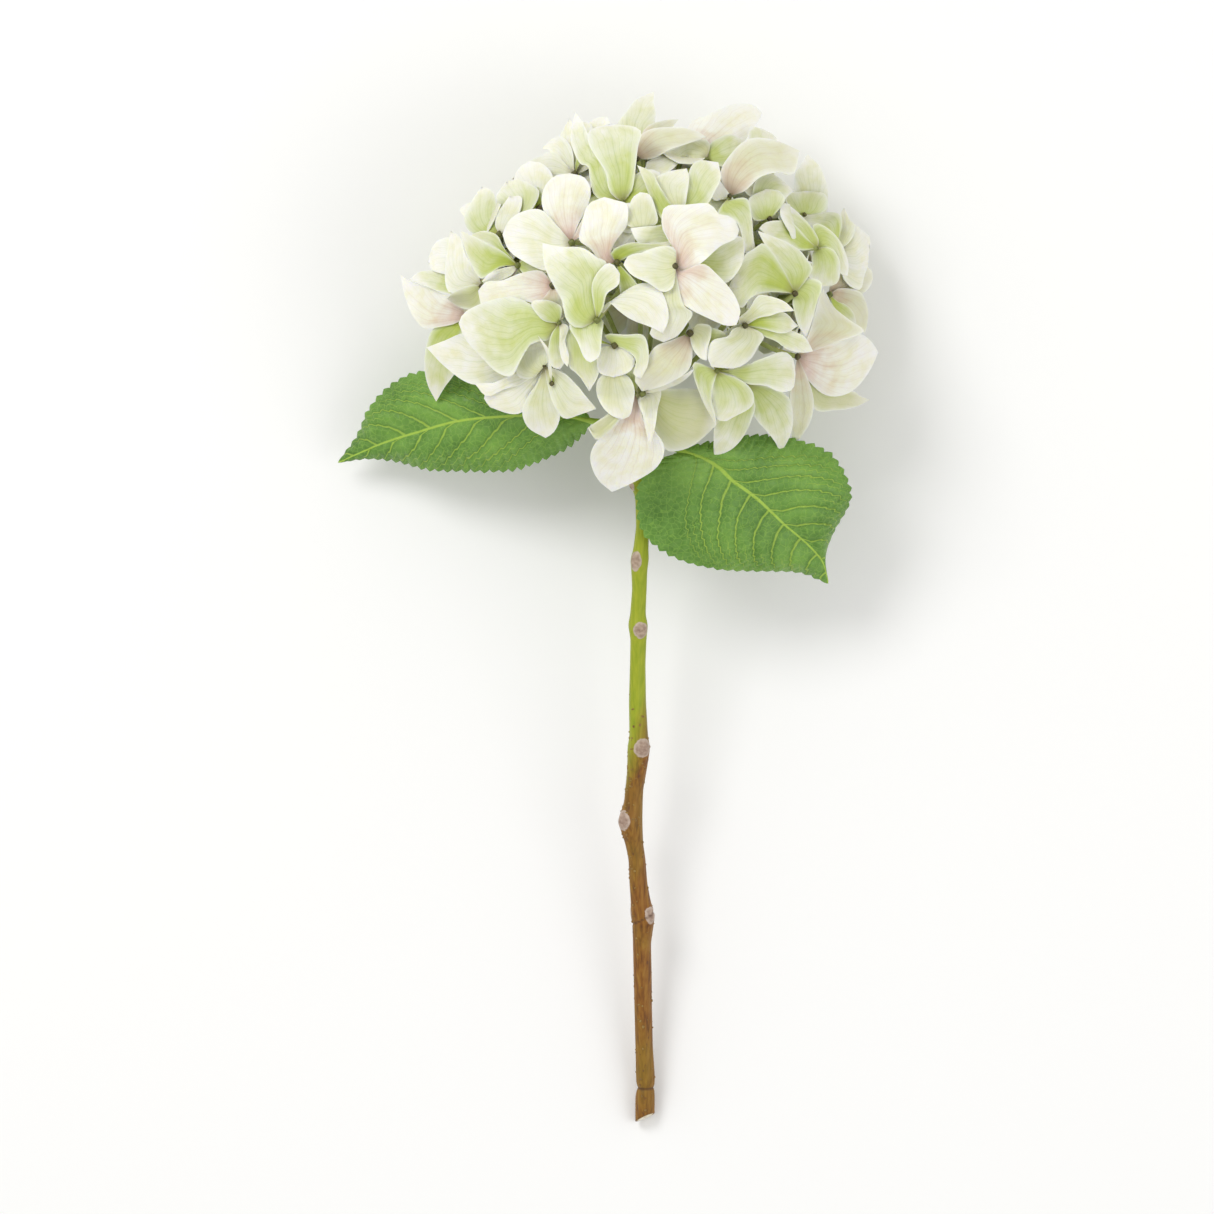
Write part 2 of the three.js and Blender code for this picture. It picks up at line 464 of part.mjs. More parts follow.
// A sepal's points are its base, rows of three across it, and its tip.
function sepalSheet(points, normal) {
  const normals = points.map((point) => {
    if (point.z > TABLE_CONTACT) return normal;
    point.z = TABLE_CONTACT;
    return UP.clone().multiplyScalar(Math.sign(normal.z) || 1);
  });
  const triangles = [[0, 2, 1], [0, 3, 2]];
  for (let row = 1; row < points.length - 4; row += 3) {
    for (const k of [row, row + 1]) triangles.push([k, k + 1, k + 4], [k, k + 4, k + 3]);
  }
  const tipIndex = points.length - 1;
  triangles.push([tipIndex - 3, tipIndex - 2, tipIndex], [tipIndex - 2, tipIndex - 1, tipIndex]);
  return thicken(points, normals, triangles, SEPAL_THICKNESS);
}

// A sepal drawn from above, which climbs towards the crown of the head or hangs from it.
function drawnSepal(eye, [rise, left, tip, right]) {
  const base = new THREE.Vector3(eye.x, eye.y, 0);
  const end = vector([...tip, 0]);
  const reach = base.distanceTo(end);
  const edges = [left, right].map((edge) => new THREE.CatmullRomCurve3(
    [base, ...edge.map(([x, y]) => vector([x, y, 0])), end], false, 'catmullrom', 0.5));
  const acrossAt = (t) => edges.map((edge) => edge.getPointAt(t));
  const bend = BEND.share * rise + BEND.more;
  const onDome = ({ x, y }, t, bow) => {
    const climb = domeHeight(x, y) - domeHeight(eye.x, eye.y);
    return new THREE.Vector3(x, y, eye.z + climb * (climb > 0 ? CLIMB : HANG) + bend * t + bow);
  };
  const width = acrossAt(0.6)[0].distanceTo(acrossAt(0.6)[1]);
  const points = [eye.clone()];
  for (const t of width > BROAD_SEPAL ? SEPAL_ROWS.broad : SEPAL_ROWS.narrow) {
    const [from, to] = acrossAt(t);
    const half = from.distanceTo(to) / 2;
    const bow = SEPAL_ARCH * reach * Math.sin(Math.PI * t);
    points.push(onDome(from, t, bow - SEPAL_FOLD * half));
    points.push(onDome(from.clone().lerp(to, 0.5), t, bow));
    points.push(onDome(to, t, bow - SEPAL_FOLD * half));
  }
  points.push(onDome(end, 1, 0));
  const sideways = points.at(-2).clone().sub(points.at(-4));
  const normal = sideways.cross(points.at(-1).clone().sub(eye)).normalize();
  return sepalSheet(points, normal);
}

// A sepal of plain outline between two points. `facing` is the way that its face looks.
function plainSepal({ base, tip, width, facing, arch }) {
  const along = tip.clone().sub(base);
  const length = along.length();
  const direction = along.clone().normalize();
  const normal = facing.clone().addScaledVector(direction, -facing.dot(direction)).normalize();
  const sideways = new THREE.Vector3().crossVectors(direction, normal);
  const points = [base.clone()];
  for (const t of SEPAL_ROWS.narrow) {
    const spine = base.clone().addScaledVector(along, t);
    spine.addScaledVector(normal, arch * length * Math.sin(Math.PI * t));
    const half = sepalHalfWidth(t, width);
    for (const side of [-1, 0, 1]) {
      const point = spine.clone().addScaledVector(sideways, side * half);
      points.push(point.addScaledVector(normal, -Math.abs(side) * SEPAL_FOLD * half));
    }
  }
  points.push(tip.clone());
  return sepalSheet(points, normal);
}

function drawnFlorets() {
  return FLORETS.map(([[x, y], lift, shapes]) => {
    const eye = new THREE.Vector3(x, y, domeHeight(x, y) + lift);
    return { eye, sepals: shapes.map((shape) => drawnSepal(eye, shape)) };
  });
}

function undersideFloret(angle, drop, seed) {
  const reach = Math.sqrt(1 - drop * drop);
  const around = THREE.MathUtils.degToRad(angle);
  const outward = new THREE.Vector3(reach * Math.cos(around), reach * Math.sin(around), -drop);
  const { middle, halfWidth, halfLength, depth, sepals: count } = UNDERSIDE;
  const halfSizes = new THREE.Vector3(halfWidth, halfLength, depth);
  const eye = outward.clone().multiply(halfSizes).add(middle);
  const first = new THREE.Vector3(-Math.sin(around), Math.cos(around), 0);
  const second = new THREE.Vector3().crossVectors(outward, first).normalize();
  const sepals = [];
  for (let i = 0; i < count; i += 1) {
    const turn = ((i + noise(seed)) / count) * 2 * Math.PI;
    const length = UNDERSIDE.sepalLength * (0.9 + 0.2 * noise(seed * 7 + i));
    const tip = eye.clone()
      .addScaledVector(first, length * Math.cos(turn))
      .addScaledVector(second, length * Math.sin(turn))
      .addScaledVector(outward, -UNDERSIDE.bendBack * length);
    const pressed = tip.z < PRESSED.below;
    if (pressed) tip.z = TABLE_CONTACT;
    sepals.push(plainSepal({
      base: eye, tip, width: UNDERSIDE.sepalWidth, facing: outward,
      arch: pressed ? PRESSED.arch : SEPAL_ARCH,
    }));
  }
  return { eye, sepals };
}

function undersideFlorets() {
  return UNDERSIDE.rings.flatMap(({ count, from, to, drop }, ring) => (
    Array.from({ length: count }, (_, k) => {
      const angle = count > 1 ? THREE.MathUtils.mapLinear(k, 0, count - 1, from, to) : from;
      return undersideFloret(angle, drop, 10 * ring + k);
    })));
}

function flowerHead() {
  const solids = [];
  const stemTop = new THREE.Vector3(STEM_ROWS.at(-1)[1], STEM_TOP_Y, stemHeight(STEM_TOP_Y));
  const hubFoot = stemTop.clone().addScaledVector(STEM_AXIS, JOINT_GAP);
  const hubTop = hubFoot.clone().addScaledVector(STEM_AXIS, RAY_HUB.length);
  solids.push(rod(hubFoot, hubTop, RAY_HUB.foot, RAY_HUB.top, RAY_HUB.sides));
  const rayFoot = hubFoot.clone().lerp(hubTop, 0.8);
  const rayEnds = RAY_ENDS.map(vector);
  rayEnds.forEach((end) => solids.push(rod(rayFoot, end, RAY.foot, RAY.top, RAY.sides)));
  for (const { eye, sepals } of [...drawnFlorets(), ...undersideFlorets()]) {
    const nearest = rayEnds.reduce((best, end) => (
      end.distanceTo(eye) < best.distanceTo(eye) ? end : best));
    solids.push(rod(nearest, eye, PEDICEL.foot, PEDICEL.top, PEDICEL.sides));
    const bud = new THREE.OctahedronGeometry(BUD_RADIUS);
    bud.translate(...eye.toArray());
    solids.push(bud);
    solids.push(...sepals);
  }
  return toGeometry(fuse(solids.map(toSolid)));
}

// ---- Stem -----------------------------------------------------------------
function stemHeight(y) {
  return STEM_FOOT_HEIGHT + STEM_SLOPE * (y - STEM_ROWS[0][0]);
}

function scarHeight(y, angle) {
  return STEM_SCARS.reduce((sum, [scarY, scarAngle, height, halfLength, halfAngle]) => {
    const apart = THREE.MathUtils.euclideanModulo(angle - scarAngle + 180, 360) - 180;
    const near = ((y - scarY) / halfLength) ** 2 + (apart / halfAngle) ** 2;
    return sum + height * Math.exp(-near);
  }, 0);
}

function stem() {
  const vertices = [];
  const index = [];
  const tilt = Math.atan(STEM_SLOPE);
  STEM_ROWS.forEach(([y, x, radius], row) => {
    for (let k = 0; k < STEM_SIDES; k += 1) {
      const angle = (k / STEM_SIDES) * 2 * Math.PI;
      const reach = radius + scarHeight(y, THREE.MathUtils.radToDeg(angle));
      const across = reach * Math.cos(angle);
      const above = reach * Math.sin(angle);
      const slant = row === 0 ? FOOT_SLANT * (across / radius) / 2 : 0;
      vertices.push(x + across, y + slant - above * Math.sin(tilt), stemHeight(y) + above * Math.cos(tilt));
    }
  });
  const last = (STEM_ROWS.length - 1) * STEM_SIDES;
  for (let row = 0; row < last; row += STEM_SIDES) {
    for (let k = 0; k < STEM_SIDES; k += 1) {
      const next = (k + 1) % STEM_SIDES;
      index.push(row + k, row + STEM_SIDES + k, row + next);
      index.push(row + next, row + STEM_SIDES + k, row + STEM_SIDES + next);
    }
  }
  for (let k = 1; k < STEM_SIDES - 1; k += 1) {
    index.push(0, k, k + 1);
    index.push(last, last + k + 1, last + k);
  }
  return skin(vertices, index);
}

// ---- Leaves ---------------------------------------------------------------
// A leaf is one sheet: midrib, a bulged line on either side of it, and edges whose
// teeth lean towards the tip.
function leafBlade({ midrib, left, right, bulge }) {
  const spine = new THREE.CatmullRomCurve3(midrib.map(vector));
  const edges = [left, right].map((edge) => new THREE.CatmullRomCurve3(edge.map(vector)));
  const stations = Math.round((edges[0].getLength() + edges[1].getLength()) / 2 / TOOTH.pitch);
  const points = [spine.getPointAt(0), spine.getPointAt(1)];
  const rows = [];
  for (let k = 1; k < stations; k += 1) {
    const t = k / stations;
    const middle = spine.getPointAt(t);
    rows.push({ middle: points.push(middle) - 1, sides: edges.map((edge) => {
      const notch = edge.getPointAt(t);
      const away = notch.clone().sub(middle).setZ(0).normalize();
      const tooth = edge.getPointAt((k + 1 - TOOTH.lean) / stations);
      const between = middle.clone().lerp(notch, 0.55).addScaledVector(UP, bulge);
      return {
        inner: points.push(between) - 1,
        notch: points.push(notch.addScaledVector(away, -0.4 * TOOTH.depth)) - 1,
        tooth: points.push(tooth.addScaledVector(away, 0.6 * TOOTH.depth)) - 1,
      };
    }) });
  }
  const triangles = [];
  [0, 1].forEach((side) => {
    const add = (a, b, c) => triangles.push(side === 0 ? [a, b, c] : [a, c, b]);
    const first = rows[0];
    add(0, first.middle, first.sides[side].inner);
    add(0, first.sides[side].inner, first.sides[side].notch);
    for (let k = 0; k < rows.length - 1; k += 1) {
      const [here, ahead] = [rows[k], rows[k + 1]];
      const [from, to] = [here.sides[side], ahead.sides[side]];
      add(here.middle, ahead.middle, to.inner);
      add(here.middle, to.inner, from.inner);
      add(from.inner, to.inner, from.tooth);
      add(from.inner, from.tooth, from.notch);
      add(to.inner, to.notch, from.tooth);
    }
    const final = rows[rows.length - 1];
    add(final.middle, 1, final.sides[side].inner);
    add(final.sides[side].inner, 1, final.sides[side].notch);
  });
  const used = [...new Set(triangles.flat())].sort((a, b) => a - b);
  const place = new Map(used.map((old, i) => [old, i]));
  return thicken(
    used.map((i) => points[i]), used.map(() => UP),
    triangles.map((corners) => corners.map((i) => place.get(i))), LEAF_THICKNESS);
}

function leaf(shape) {
  const section = new THREE.Shape();
  section.absarc(0, 0, PETIOLE.radius, 0, 2 * Math.PI);
  const petiole = new THREE.ExtrudeGeometry(section, {
    steps: PETIOLE.steps,
    curveSegments: PETIOLE.sides / 2,
    bevelEnabled: false,
    extrudePath: new THREE.CatmullRomCurve3(shape.petiole.map(vector)),
  });
  return toGeometry(fuse([leafBlade(shape), petiole].map(toSolid)));
}

// ---- The whole flower -----------------------------------------------------
function piece(name, geometry, roughness) {
  const mesh = new THREE.Mesh(geometry, new THREE.MeshStandardMaterial({
    color: COLOURS[name], roughness, metalness: 0,
  }));
  mesh.name = name;
  return mesh;
}

const hydrangea = new THREE.Group();
hydrangea.position.copy(HEAD_PLACE);
hydrangea.add(piece('stem', stem(), 0.6));
hydrangea.add(piece('flower_head', flowerHead(), 0.7));
Object.entries(LEAVES).forEach(([name, shape]) => hydrangea.add(piece(name, leaf(shape), 0.5)));

export default hydrangea;
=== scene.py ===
# Cut mophead hydrangea, laid on a pale table and seen from straight above.
import json
import math

import bpy
import numpy as np
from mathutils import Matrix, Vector

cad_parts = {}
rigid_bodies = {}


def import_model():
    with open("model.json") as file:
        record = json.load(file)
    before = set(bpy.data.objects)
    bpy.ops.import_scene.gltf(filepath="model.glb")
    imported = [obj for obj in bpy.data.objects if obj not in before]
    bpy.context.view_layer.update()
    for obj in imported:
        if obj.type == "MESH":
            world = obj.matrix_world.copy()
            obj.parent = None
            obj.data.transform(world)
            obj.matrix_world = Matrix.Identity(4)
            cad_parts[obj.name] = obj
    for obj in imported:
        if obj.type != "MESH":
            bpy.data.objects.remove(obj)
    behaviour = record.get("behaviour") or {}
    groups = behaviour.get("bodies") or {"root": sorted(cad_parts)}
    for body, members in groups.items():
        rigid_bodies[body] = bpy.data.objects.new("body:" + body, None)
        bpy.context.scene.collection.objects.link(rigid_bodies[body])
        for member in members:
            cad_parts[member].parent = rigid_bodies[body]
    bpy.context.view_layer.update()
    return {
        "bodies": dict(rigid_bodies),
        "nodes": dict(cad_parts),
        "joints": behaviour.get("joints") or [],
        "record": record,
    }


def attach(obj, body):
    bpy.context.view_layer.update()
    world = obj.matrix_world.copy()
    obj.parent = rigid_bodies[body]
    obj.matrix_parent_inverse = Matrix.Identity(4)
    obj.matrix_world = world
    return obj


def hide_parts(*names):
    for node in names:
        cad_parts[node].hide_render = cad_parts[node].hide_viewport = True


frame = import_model()

# ---------------------------------------------------------------------------
# Table, light and camera. A pale matt table top, a large soft lamp over the
# upper left, a weaker one from the right, and a camera that looks straight down.
# ---------------------------------------------------------------------------
MM = 0.001
VIEW_WIDTH = 485.6 * MM
CAMERA_HEIGHT = 12.0
SHARP_HEIGHT = 60 * MM
SENSOR_WIDTH = 36
TABLE_SIZE = 14.0
DAYLIGHT = {"colour": (1.0, 0.995, 0.985, 1), "strength": 0.72}
# Each lamp: name, place, the point it aims at, its width and its power.
LAMPS = [
    ("key", (-0.9, 1.0, 1.7), (0, 0.1, 0.05), 0.9, 16.5), ("fill", (1.3, -0.4, 1.6), (0, 0, 0.05), 1.4, 7)]


def new_object(name, data):
    made = bpy.data.objects.new(name, data)
    bpy.context.collection.objects.link(made)
    return made


def flat_material(name, colour, roughness):
    material = bpy.data.materials.new(name)
    material.use_nodes = True
    shader = material.node_tree.nodes["Principled BSDF"]
    shader.inputs["Base Color"].default_value = (*colour, 1)
    shader.inputs["Roughness"].default_value = roughness
    return material


table_mesh = bpy.data.meshes.new("table_top")
corners = [(-1, -1), (1, -1), (1, 1), (-1, 1)]
half_table = TABLE_SIZE / 2
table_mesh.from_pydata([(x * half_table, y * half_table, 0) for x, y in corners], [], [(0, 1, 2, 3)])
table_top = new_object("table_top", table_mesh)
table_mesh.materials.append(flat_material("pale table", (0.93, 0.93, 0.92), 0.85))

world = bpy.data.worlds.new("studio")
bpy.context.scene.world = world
world.use_nodes = True
sky = world.node_tree.nodes["Background"]
sky.inputs["Color"].default_value = DAYLIGHT["colour"]
sky.inputs["Strength"].default_value = DAYLIGHT["strength"]


def soft_lamp(name, place, aim, size, power):
    lamp = bpy.data.lights.new(name, "AREA")
    lamp.shape = "DISK"
    lamp.size = size
    lamp.energy = power
    holder = new_object(name, lamp)
    holder.location = place
    holder.rotation_mode = "QUATERNION"
    holder.rotation_quaternion = (Vector(aim) - Vector(place)).to_track_quat("-Z", "Y")


for lamp_row in LAMPS:
    soft_lamp(*lamp_row)

camera_data = bpy.data.cameras.new("camera")
camera_data.sensor_width = SENSOR_WIDTH
camera_data.lens = SENSOR_WIDTH * (CAMERA_HEIGHT - SHARP_HEIGHT) / VIEW_WIDTH
camera = new_object("camera", camera_data)
camera.location = (0, 0, CAMERA_HEIGHT)
bpy.context.scene.camera = camera
bpy.context.scene.view_settings.view_transform = "Standard"

# ---------------------------------------------------------------------------
# Stem. One woody shoot, green and smooth near the head and ageing to brown bark
# at the foot, swollen at each node, where a fallen leaf has left a corky scar.
# ---------------------------------------------------------------------------
HEAD_PLACE = Vector((13, 123, 0))
STEM_SLOPE = 0.2217
STEM_FOOT_HEIGHT = 3.9
STEM_SIDES = 56
STEM_STEP = 0.8
# How far the cut rises to the right and to the top, and how far up the stem the slant fades.
FOOT_SLANT = (1.7, 1.5)
FOOT_SLANT_FADE = 6
SCAR_EDGE = 1.15
# Fine ribs round the bark: height, how many, and their twist.
BARK_RIBS = [(0.05, 7, 0.02), (0.04, 13, -0.05)]
# How warty the bark is: distance along and amount.
WARTY = [(-326, 0), (-324, 0.3), (-230, 0.4), (-215, 1.0), (-180, 0.6), (-155, 0)]
# Rings pressed into the bark: distance along, rise to the right, depth, half width.
STEM_RINGS = [(-316, 0.0, 0.42, 0.7), (-247.5, 0.55, 0.4, 0.6)]

# Distance along, sideways place and radius, from the cut foot to the top.
STEM_ROWS = [
    (-328, 2.3, 3.9), (-320, 2.3, 3.9), (-317.4, 2.5, 3.7), (-316, 2.6, 3.2), (-314.6, 2.5, 3.7),
    (-311, 2.4, 3.8), (-300, 1.9, 3.5), (-284, 1.5, 3.5), (-272, 1.3, 3.6), (-258, 1.0, 3.6),
    (-251, 1.4, 4.2), (-246, 1.3, 4.5), (-241, 0.5, 4.0), (-234, -0.4, 3.6), (-224, -1.0, 3.4),
    (-218, -2.1, 3.6), (-213, -3.0, 4.3), (-209, -3.4, 4.6), (-205, -3.0, 4.2), (-201, -2.4, 3.7),
    (-196, -2.1, 3.6), (-190, -1.2, 3.8), (-184, -0.6, 4.2), (-179.5, -0.3, 4.4), (-175, -0.3, 3.7),
    (-161, -0.8, 3.4), (-146, -0.7, 3.1), (-136, -0.4, 3.2), (-130, -0.6, 3.9), (-126, -0.6, 3.1),
    (-116, 0, 2.9), (-108, 0, 3.2), (-104, 0.2, 3.6), (-100, 0.6, 3.0), (-91, 1.3, 2.6),
    (-80, 1.1, 2.7), (-74, 0.2, 3.0), (-66, 0.4, 3.0), (-58, 0.4, 3.1), (-54, 0.4, 3.7),
    (-50, 0.4, 3.2), (-45, 0.4, 3.1),
]

# Leaf scars: distance along, angle round (0 right, 90 up), height, half length, half angle.
STEM_SCARS = [
    (-104, 124, 0.9, 4.0, 42), (-131.6, 72, 0.8, 3.3, 48), (-178.8, 66, 0.9, 3.7, 50),
    (-208, 140, 1.2, 4.0, 44), (-246, 42, 1.0, 3.4, 36), (-74.4, 165, 1.6, 1.9, 34),
    (-179, 245, 0.7, 3.0, 40), (-131, 250, 0.7, 2.8, 40), (-246, 200, 0.6, 3.0, 36),
]


def noise(seed):
    value = math.sin(seed * 12.9898 + 4.137) * 43758.5453
    return value - math.floor(value)


def make_piece(name, points, faces, material, uv=None, values=None):
    """A mesh object in the row frame, from points in millimetres about the head."""
    mesh = bpy.data.meshes.new(name)
    place = np.array(HEAD_PLACE)
    mesh.from_pydata(((np.asarray(points) + place) * MM).tolist(), [], faces)
    mesh.materials.append(material)
    mesh.shade_smooth()
    loop_points = np.empty(len(mesh.loops), dtype=np.int32)
    mesh.loops.foreach_get("vertex_index", loop_points)
    if uv is not None:
        layer = mesh.uv_layers.new(name="surface")
        layer.data.foreach_set("uv", np.asarray(uv, dtype=np.float32)[loop_points].ravel())
    for key, column in (values or {}).items():
        attribute = mesh.attributes.new(key, "FLOAT", "POINT")
        attribute.data.foreach_set("value", np.asarray(column, dtype=np.float32))
    return new_object(name, mesh)


def ring_faces(rings, sides, start=0, flip=False, caps=True):
    """Faces of a tube made of rings of points, with a cap at each end."""
    faces = []
    for here in range(start, start + (rings - 1) * sides, sides):
        for k in range(sides):
            a, b = here + k, here + (k + 1) % sides
            faces.append((a, b, b + sides, a + sides) if flip else (a, a + sides, b + sides, b))
    if caps:
        first = range(start, start + sides)
        last = range(start + (rings - 1) * sides, start + rings * sides)
        faces += [tuple(cap) for cap in ((reversed(first), last) if flip else (first, reversed(last)))]
    return faces


def stem_mesh():
    rows = np.array(STEM_ROWS)
    count = int((rows[-1, 0] - rows[0, 0]) / STEM_STEP)
    y = np.linspace(rows[0, 0], rows[-1, 0], count)
    x = np.interp(y, rows[:, 0], rows[:, 1])
    radius = np.interp(y, rows[:, 0], rows[:, 2])
    kernel = np.array([1, 2, 3, 2, 1]) / 9
    x[2:-2] = np.convolve(x, kernel, "valid")
    radius[2:-2] = np.convolve(radius, kernel, "valid")
    angle = np.linspace(0, 360, STEM_SIDES, endpoint=False)
    ring_y, ring_angle = np.meshgrid(y, angle, indexing="ij")
    scar = np.zeros_like(ring_y)
    raised = np.zeros_like(ring_y)
    for place, turn, height, half_length, half_angle in STEM_SCARS:
        apart = (ring_angle - turn + 180) % 360 - 180
        near = ((ring_y - place) / half_length) ** 2 + (apart / half_angle) ** 2
        raised += height * np.exp(-near)
        scar = np.maximum(scar, np.exp(-(near * SCAR_EDGE) ** 3))
    turn = np.radians(ring_angle)
    ribs = sum(high * np.sin(number * turn + twist * ring_y) for high, number, twist in BARK_RIBS)
    groove = np.zeros_like(ring_y)
    for place, rise, depth, half_width in STEM_RINGS:
        off = (ring_y - place - rise * radius[:, None] * np.cos(turn)) / half_width
        groove += depth * np.exp(-off ** 2)
    reach = radius[:, None] + raised + ribs - groove
    across = reach * np.cos(turn)
    above = reach * np.sin(turn)
    tilt = math.atan(STEM_SLOPE)
    fade = np.clip(1 - (y - y[0]) / FOOT_SLANT_FADE, 0, 1)[:, None]
    slant = (FOOT_SLANT[0] * across + FOOT_SLANT[1] * above) / radius[:, None] * fade
    points = np.stack([
        x[:, None] + across,
        ring_y + slant - above * math.sin(tilt),
        (STEM_FOOT_HEIGHT + STEM_SLOPE * (ring_y - y[0])) + above * math.cos(tilt),
    ], axis=-1).reshape(-1, 3)
    warty = np.interp(ring_y, *zip(*WARTY)) * (scar < 0.1)
    values = {"scar": scar.ravel(), "groove": groove.ravel(), "warty": warty.ravel()}
    return points, ring_faces(count, STEM_SIDES), values


class Nodes:
    """Short forms for building a material's node tree."""

    def __init__(self, name, **constants):
        self.material = bpy.data.materials.new(name)
        self.material.use_nodes = True
        self.tree = self.material.node_tree
        self.shader = self.tree.nodes["Principled BSDF"]
        for key, value in constants.items():
            self.shader.inputs[key.replace("_", " ")].default_value = value

    def link(self, source, socket):
        if isinstance(source, bpy.types.NodeSocket):
            self.tree.links.new(source, socket)
        elif source is not None:
            socket.default_value = source

    def add(self, kind, out=0, **inputs):
        node = self.tree.nodes.new(kind)
        for key, value in inputs.items():
            self.link(value, node.inputs[key.replace("_", " ")])
        return node.outputs[out]

    def math(self, operation, a, b=None, c=None, clamp=False):
        node = self.tree.nodes.new("ShaderNodeMath")
        node.operation = operation
        node.use_clamp = clamp
        for socket, value in zip(node.inputs, (a, b, c)):
            self.link(value, socket)
        return node.outputs[0]

    def times(self, a, b):
        return self.math("MULTIPLY", a, b)

    def plus(self, a, b):
        return self.math("ADD", a, b)

    def scaled(self, value, factor, offset):
        return self.math("MULTIPLY_ADD", value, factor, offset)

    def ramp(self, factor, *stops):
        """A ramp of colours or greys, with each stop as its place and its colour."""
        node = self.tree.nodes.new("ShaderNodeValToRGB")
        elements = node.color_ramp.elements
        while len(elements) < len(stops):
            elements.new(0.5)
        for element, (position, colour) in zip(elements, stops):
            element.position = position
            element.color = (*colour, 1) if isinstance(colour, tuple) else (colour, colour, colour, 1)
        self.link(factor, node.inputs[0])
        return node.outputs[0]

    def parts(self, vector):
        """The first two parts of a place."""
        node = self.add("ShaderNodeSeparateXYZ", 0, Vector=vector).node
        return node.outputs["X"], node.outputs["Y"]

    def moved(self, vector, factor, shift):
        """A vector times a factor, plus a shift."""
        node = self.tree.nodes.new("ShaderNodeVectorMath")
        node.operation = "MULTIPLY_ADD"
        node.inputs[1].default_value = (factor, factor, factor)
        self.link(vector, node.inputs[0])
        self.link(shift, node.inputs[2])
        return node.outputs[0]

    def chart(self):
        """The piece's own flat chart."""
        node = self.tree.nodes.new("ShaderNodeUVMap")
        node.uv_map = "surface"
        return node.outputs[0]

    def mix(self, factor, a, b, blend="MIX"):
        node = self.tree.nodes.new("ShaderNodeMix")
        node.data_type = "RGBA"
        node.blend_type = blend
        self.link(factor, node.inputs[0])
        for socket, value in ((node.inputs[6], a), (node.inputs[7], b)):
            self.link((*value, 1) if isinstance(value, tuple) else value, socket)
        return node.outputs[2]

    def attribute(self, name):
        node = self.tree.nodes.new("ShaderNodeAttribute")
        node.attribute_name = name
        return node.outputs["Fac"]

    def place(self, scale=(1, 1, 1)):
        coordinates = self.tree.nodes.new("ShaderNodeTexCoord")
        mapping = self.tree.nodes.new("ShaderNodeMapping")
        mapping.inputs["Scale"].default_value = scale
        self.tree.links.new(coordinates.outputs["Object"], mapping.inputs["Vector"])
        return mapping.outputs[0]

    def clouds(self, scale, detail, vector=None):
        node = self.tree.nodes.new("ShaderNodeTexNoise")
        self.link(vector if vector is not None else self.place(), node.inputs["Vector"])
        node.inputs["Scale"].default_value = scale
        node.inputs["Detail"].default_value = detail
        return node.outputs["Fac"]

    def bump(self, height, strength, distance):
        node = self.tree.nodes.new("ShaderNodeBump")
        node.inputs["Strength"].default_value = strength
        node.inputs["Distance"].default_value = distance
        self.link(height, node.inputs["Height"])
        self.link(node.outputs[0], self.shader.inputs["Normal"])

    def colour(self, source):
        self.link(source, self.shader.inputs["Base Color"])


def bark_material():
    bark = Nodes("bark", Roughness=0.5, Specular_IOR_Level=0.35)
    aside, along = bark.parts(bark.place())
    streaks = bark.clouds(1, 5, bark.place((900, 55, 900)))
    patches = bark.clouds(60, 3, bark.place((1, 0.5, 1)))
    # The bark is brown (1) at the foot and green (0) near the head, and the brown climbs higher
    # on the right side; patches make its edge uneven.
    age = bark.plus(bark.scaled(along, -38.0, -1.5), bark.scaled(aside, 105, -1.32))
    age = bark.plus(age, bark.scaled(patches, 1.2, -0.6))
    brownness = bark.math("MULTIPLY", age, 1.0, clamp=True)
    green = bark.ramp(streaks, (0.3, (0.25, 0.32, 0.010)), (0.7, (0.36, 0.40, 0.022)))
    brown = bark.ramp(
        streaks, (0.28, (0.11, 0.036, 0.005)), (0.5, (0.235, 0.092, 0.009)), (0.75, (0.33, 0.165, 0.022)))
    olive = bark.ramp(patches, (0.45, 0.0), (0.7, 0.5))
    colour = bark.mix(brownness, green, bark.mix(olive, brown, (0.26, 0.175, 0.012)))
    specks = bark.clouds(1, 2, bark.place((520, 230, 520)))
    specks = bark.times(bark.ramp(specks, (0.66, 0.0), (0.72, 1.0)), brownness)
    colour = bark.mix(bark.times(specks, 0.6), colour, (0.09, 0.03, 0.015))
    # A scar is pale cork with a ragged edge, and the lighter band round that edge is a painted highlight.
    ragged = bark.scaled(bark.clouds(520, 3), 0.9, -0.45)
    scar = bark.attribute("scar")
    scar = bark.plus(scar, bark.times(ragged, bark.ramp(scar, (0.0, 0.0), (0.25, 1.0))))
    cork = bark.ramp(bark.clouds(700, 4), (0.3, (0.24, 0.15, 0.11)), (0.7, (0.50, 0.37, 0.29)))
    # Painted highlight: a pale band round the scar's rim.
    edge = bark.ramp(scar, (0.1, 0.0), (0.3, 1.0), (0.6, 0.7), (0.9, 0.1))
    cork = bark.mix(bark.times(edge, 0.5), cork, (0.66, 0.56, 0.47))
    colour = bark.mix(bark.ramp(scar, (0.12, 0.0), (0.3, 0.95)), colour, cork)
    # Painted shade: the bark is darkened along the pressed rings, down in their grooves.
    groove_shade = bark.ramp(bark.attribute("groove"), (0.1, 0.0), (0.4, 0.8))
    bark.colour(bark.mix(groove_shade, colour, (0.075, 0.028, 0.01)))
    bark.bump(bark.plus(bark.times(streaks, 0.6), bark.times(scar, 0.5)), 0.5, 0.0004)
    return bark.material


stem_points, stem_faces, stem_values = stem_mesh()
stem = make_piece("stem_bark", stem_points, stem_faces, bark_material(), values=stem_values)
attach(stem, "root")
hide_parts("stem")

# The warts: radius, how many on the wartiest bark, and their least and greatest scale each way.
LENTICEL = {
    "radius": 0.6, "per_square_metre": 110000.0, "least": (0.35, 0.35, 0.3), "greatest": (1.0, 1.3, 0.7)}


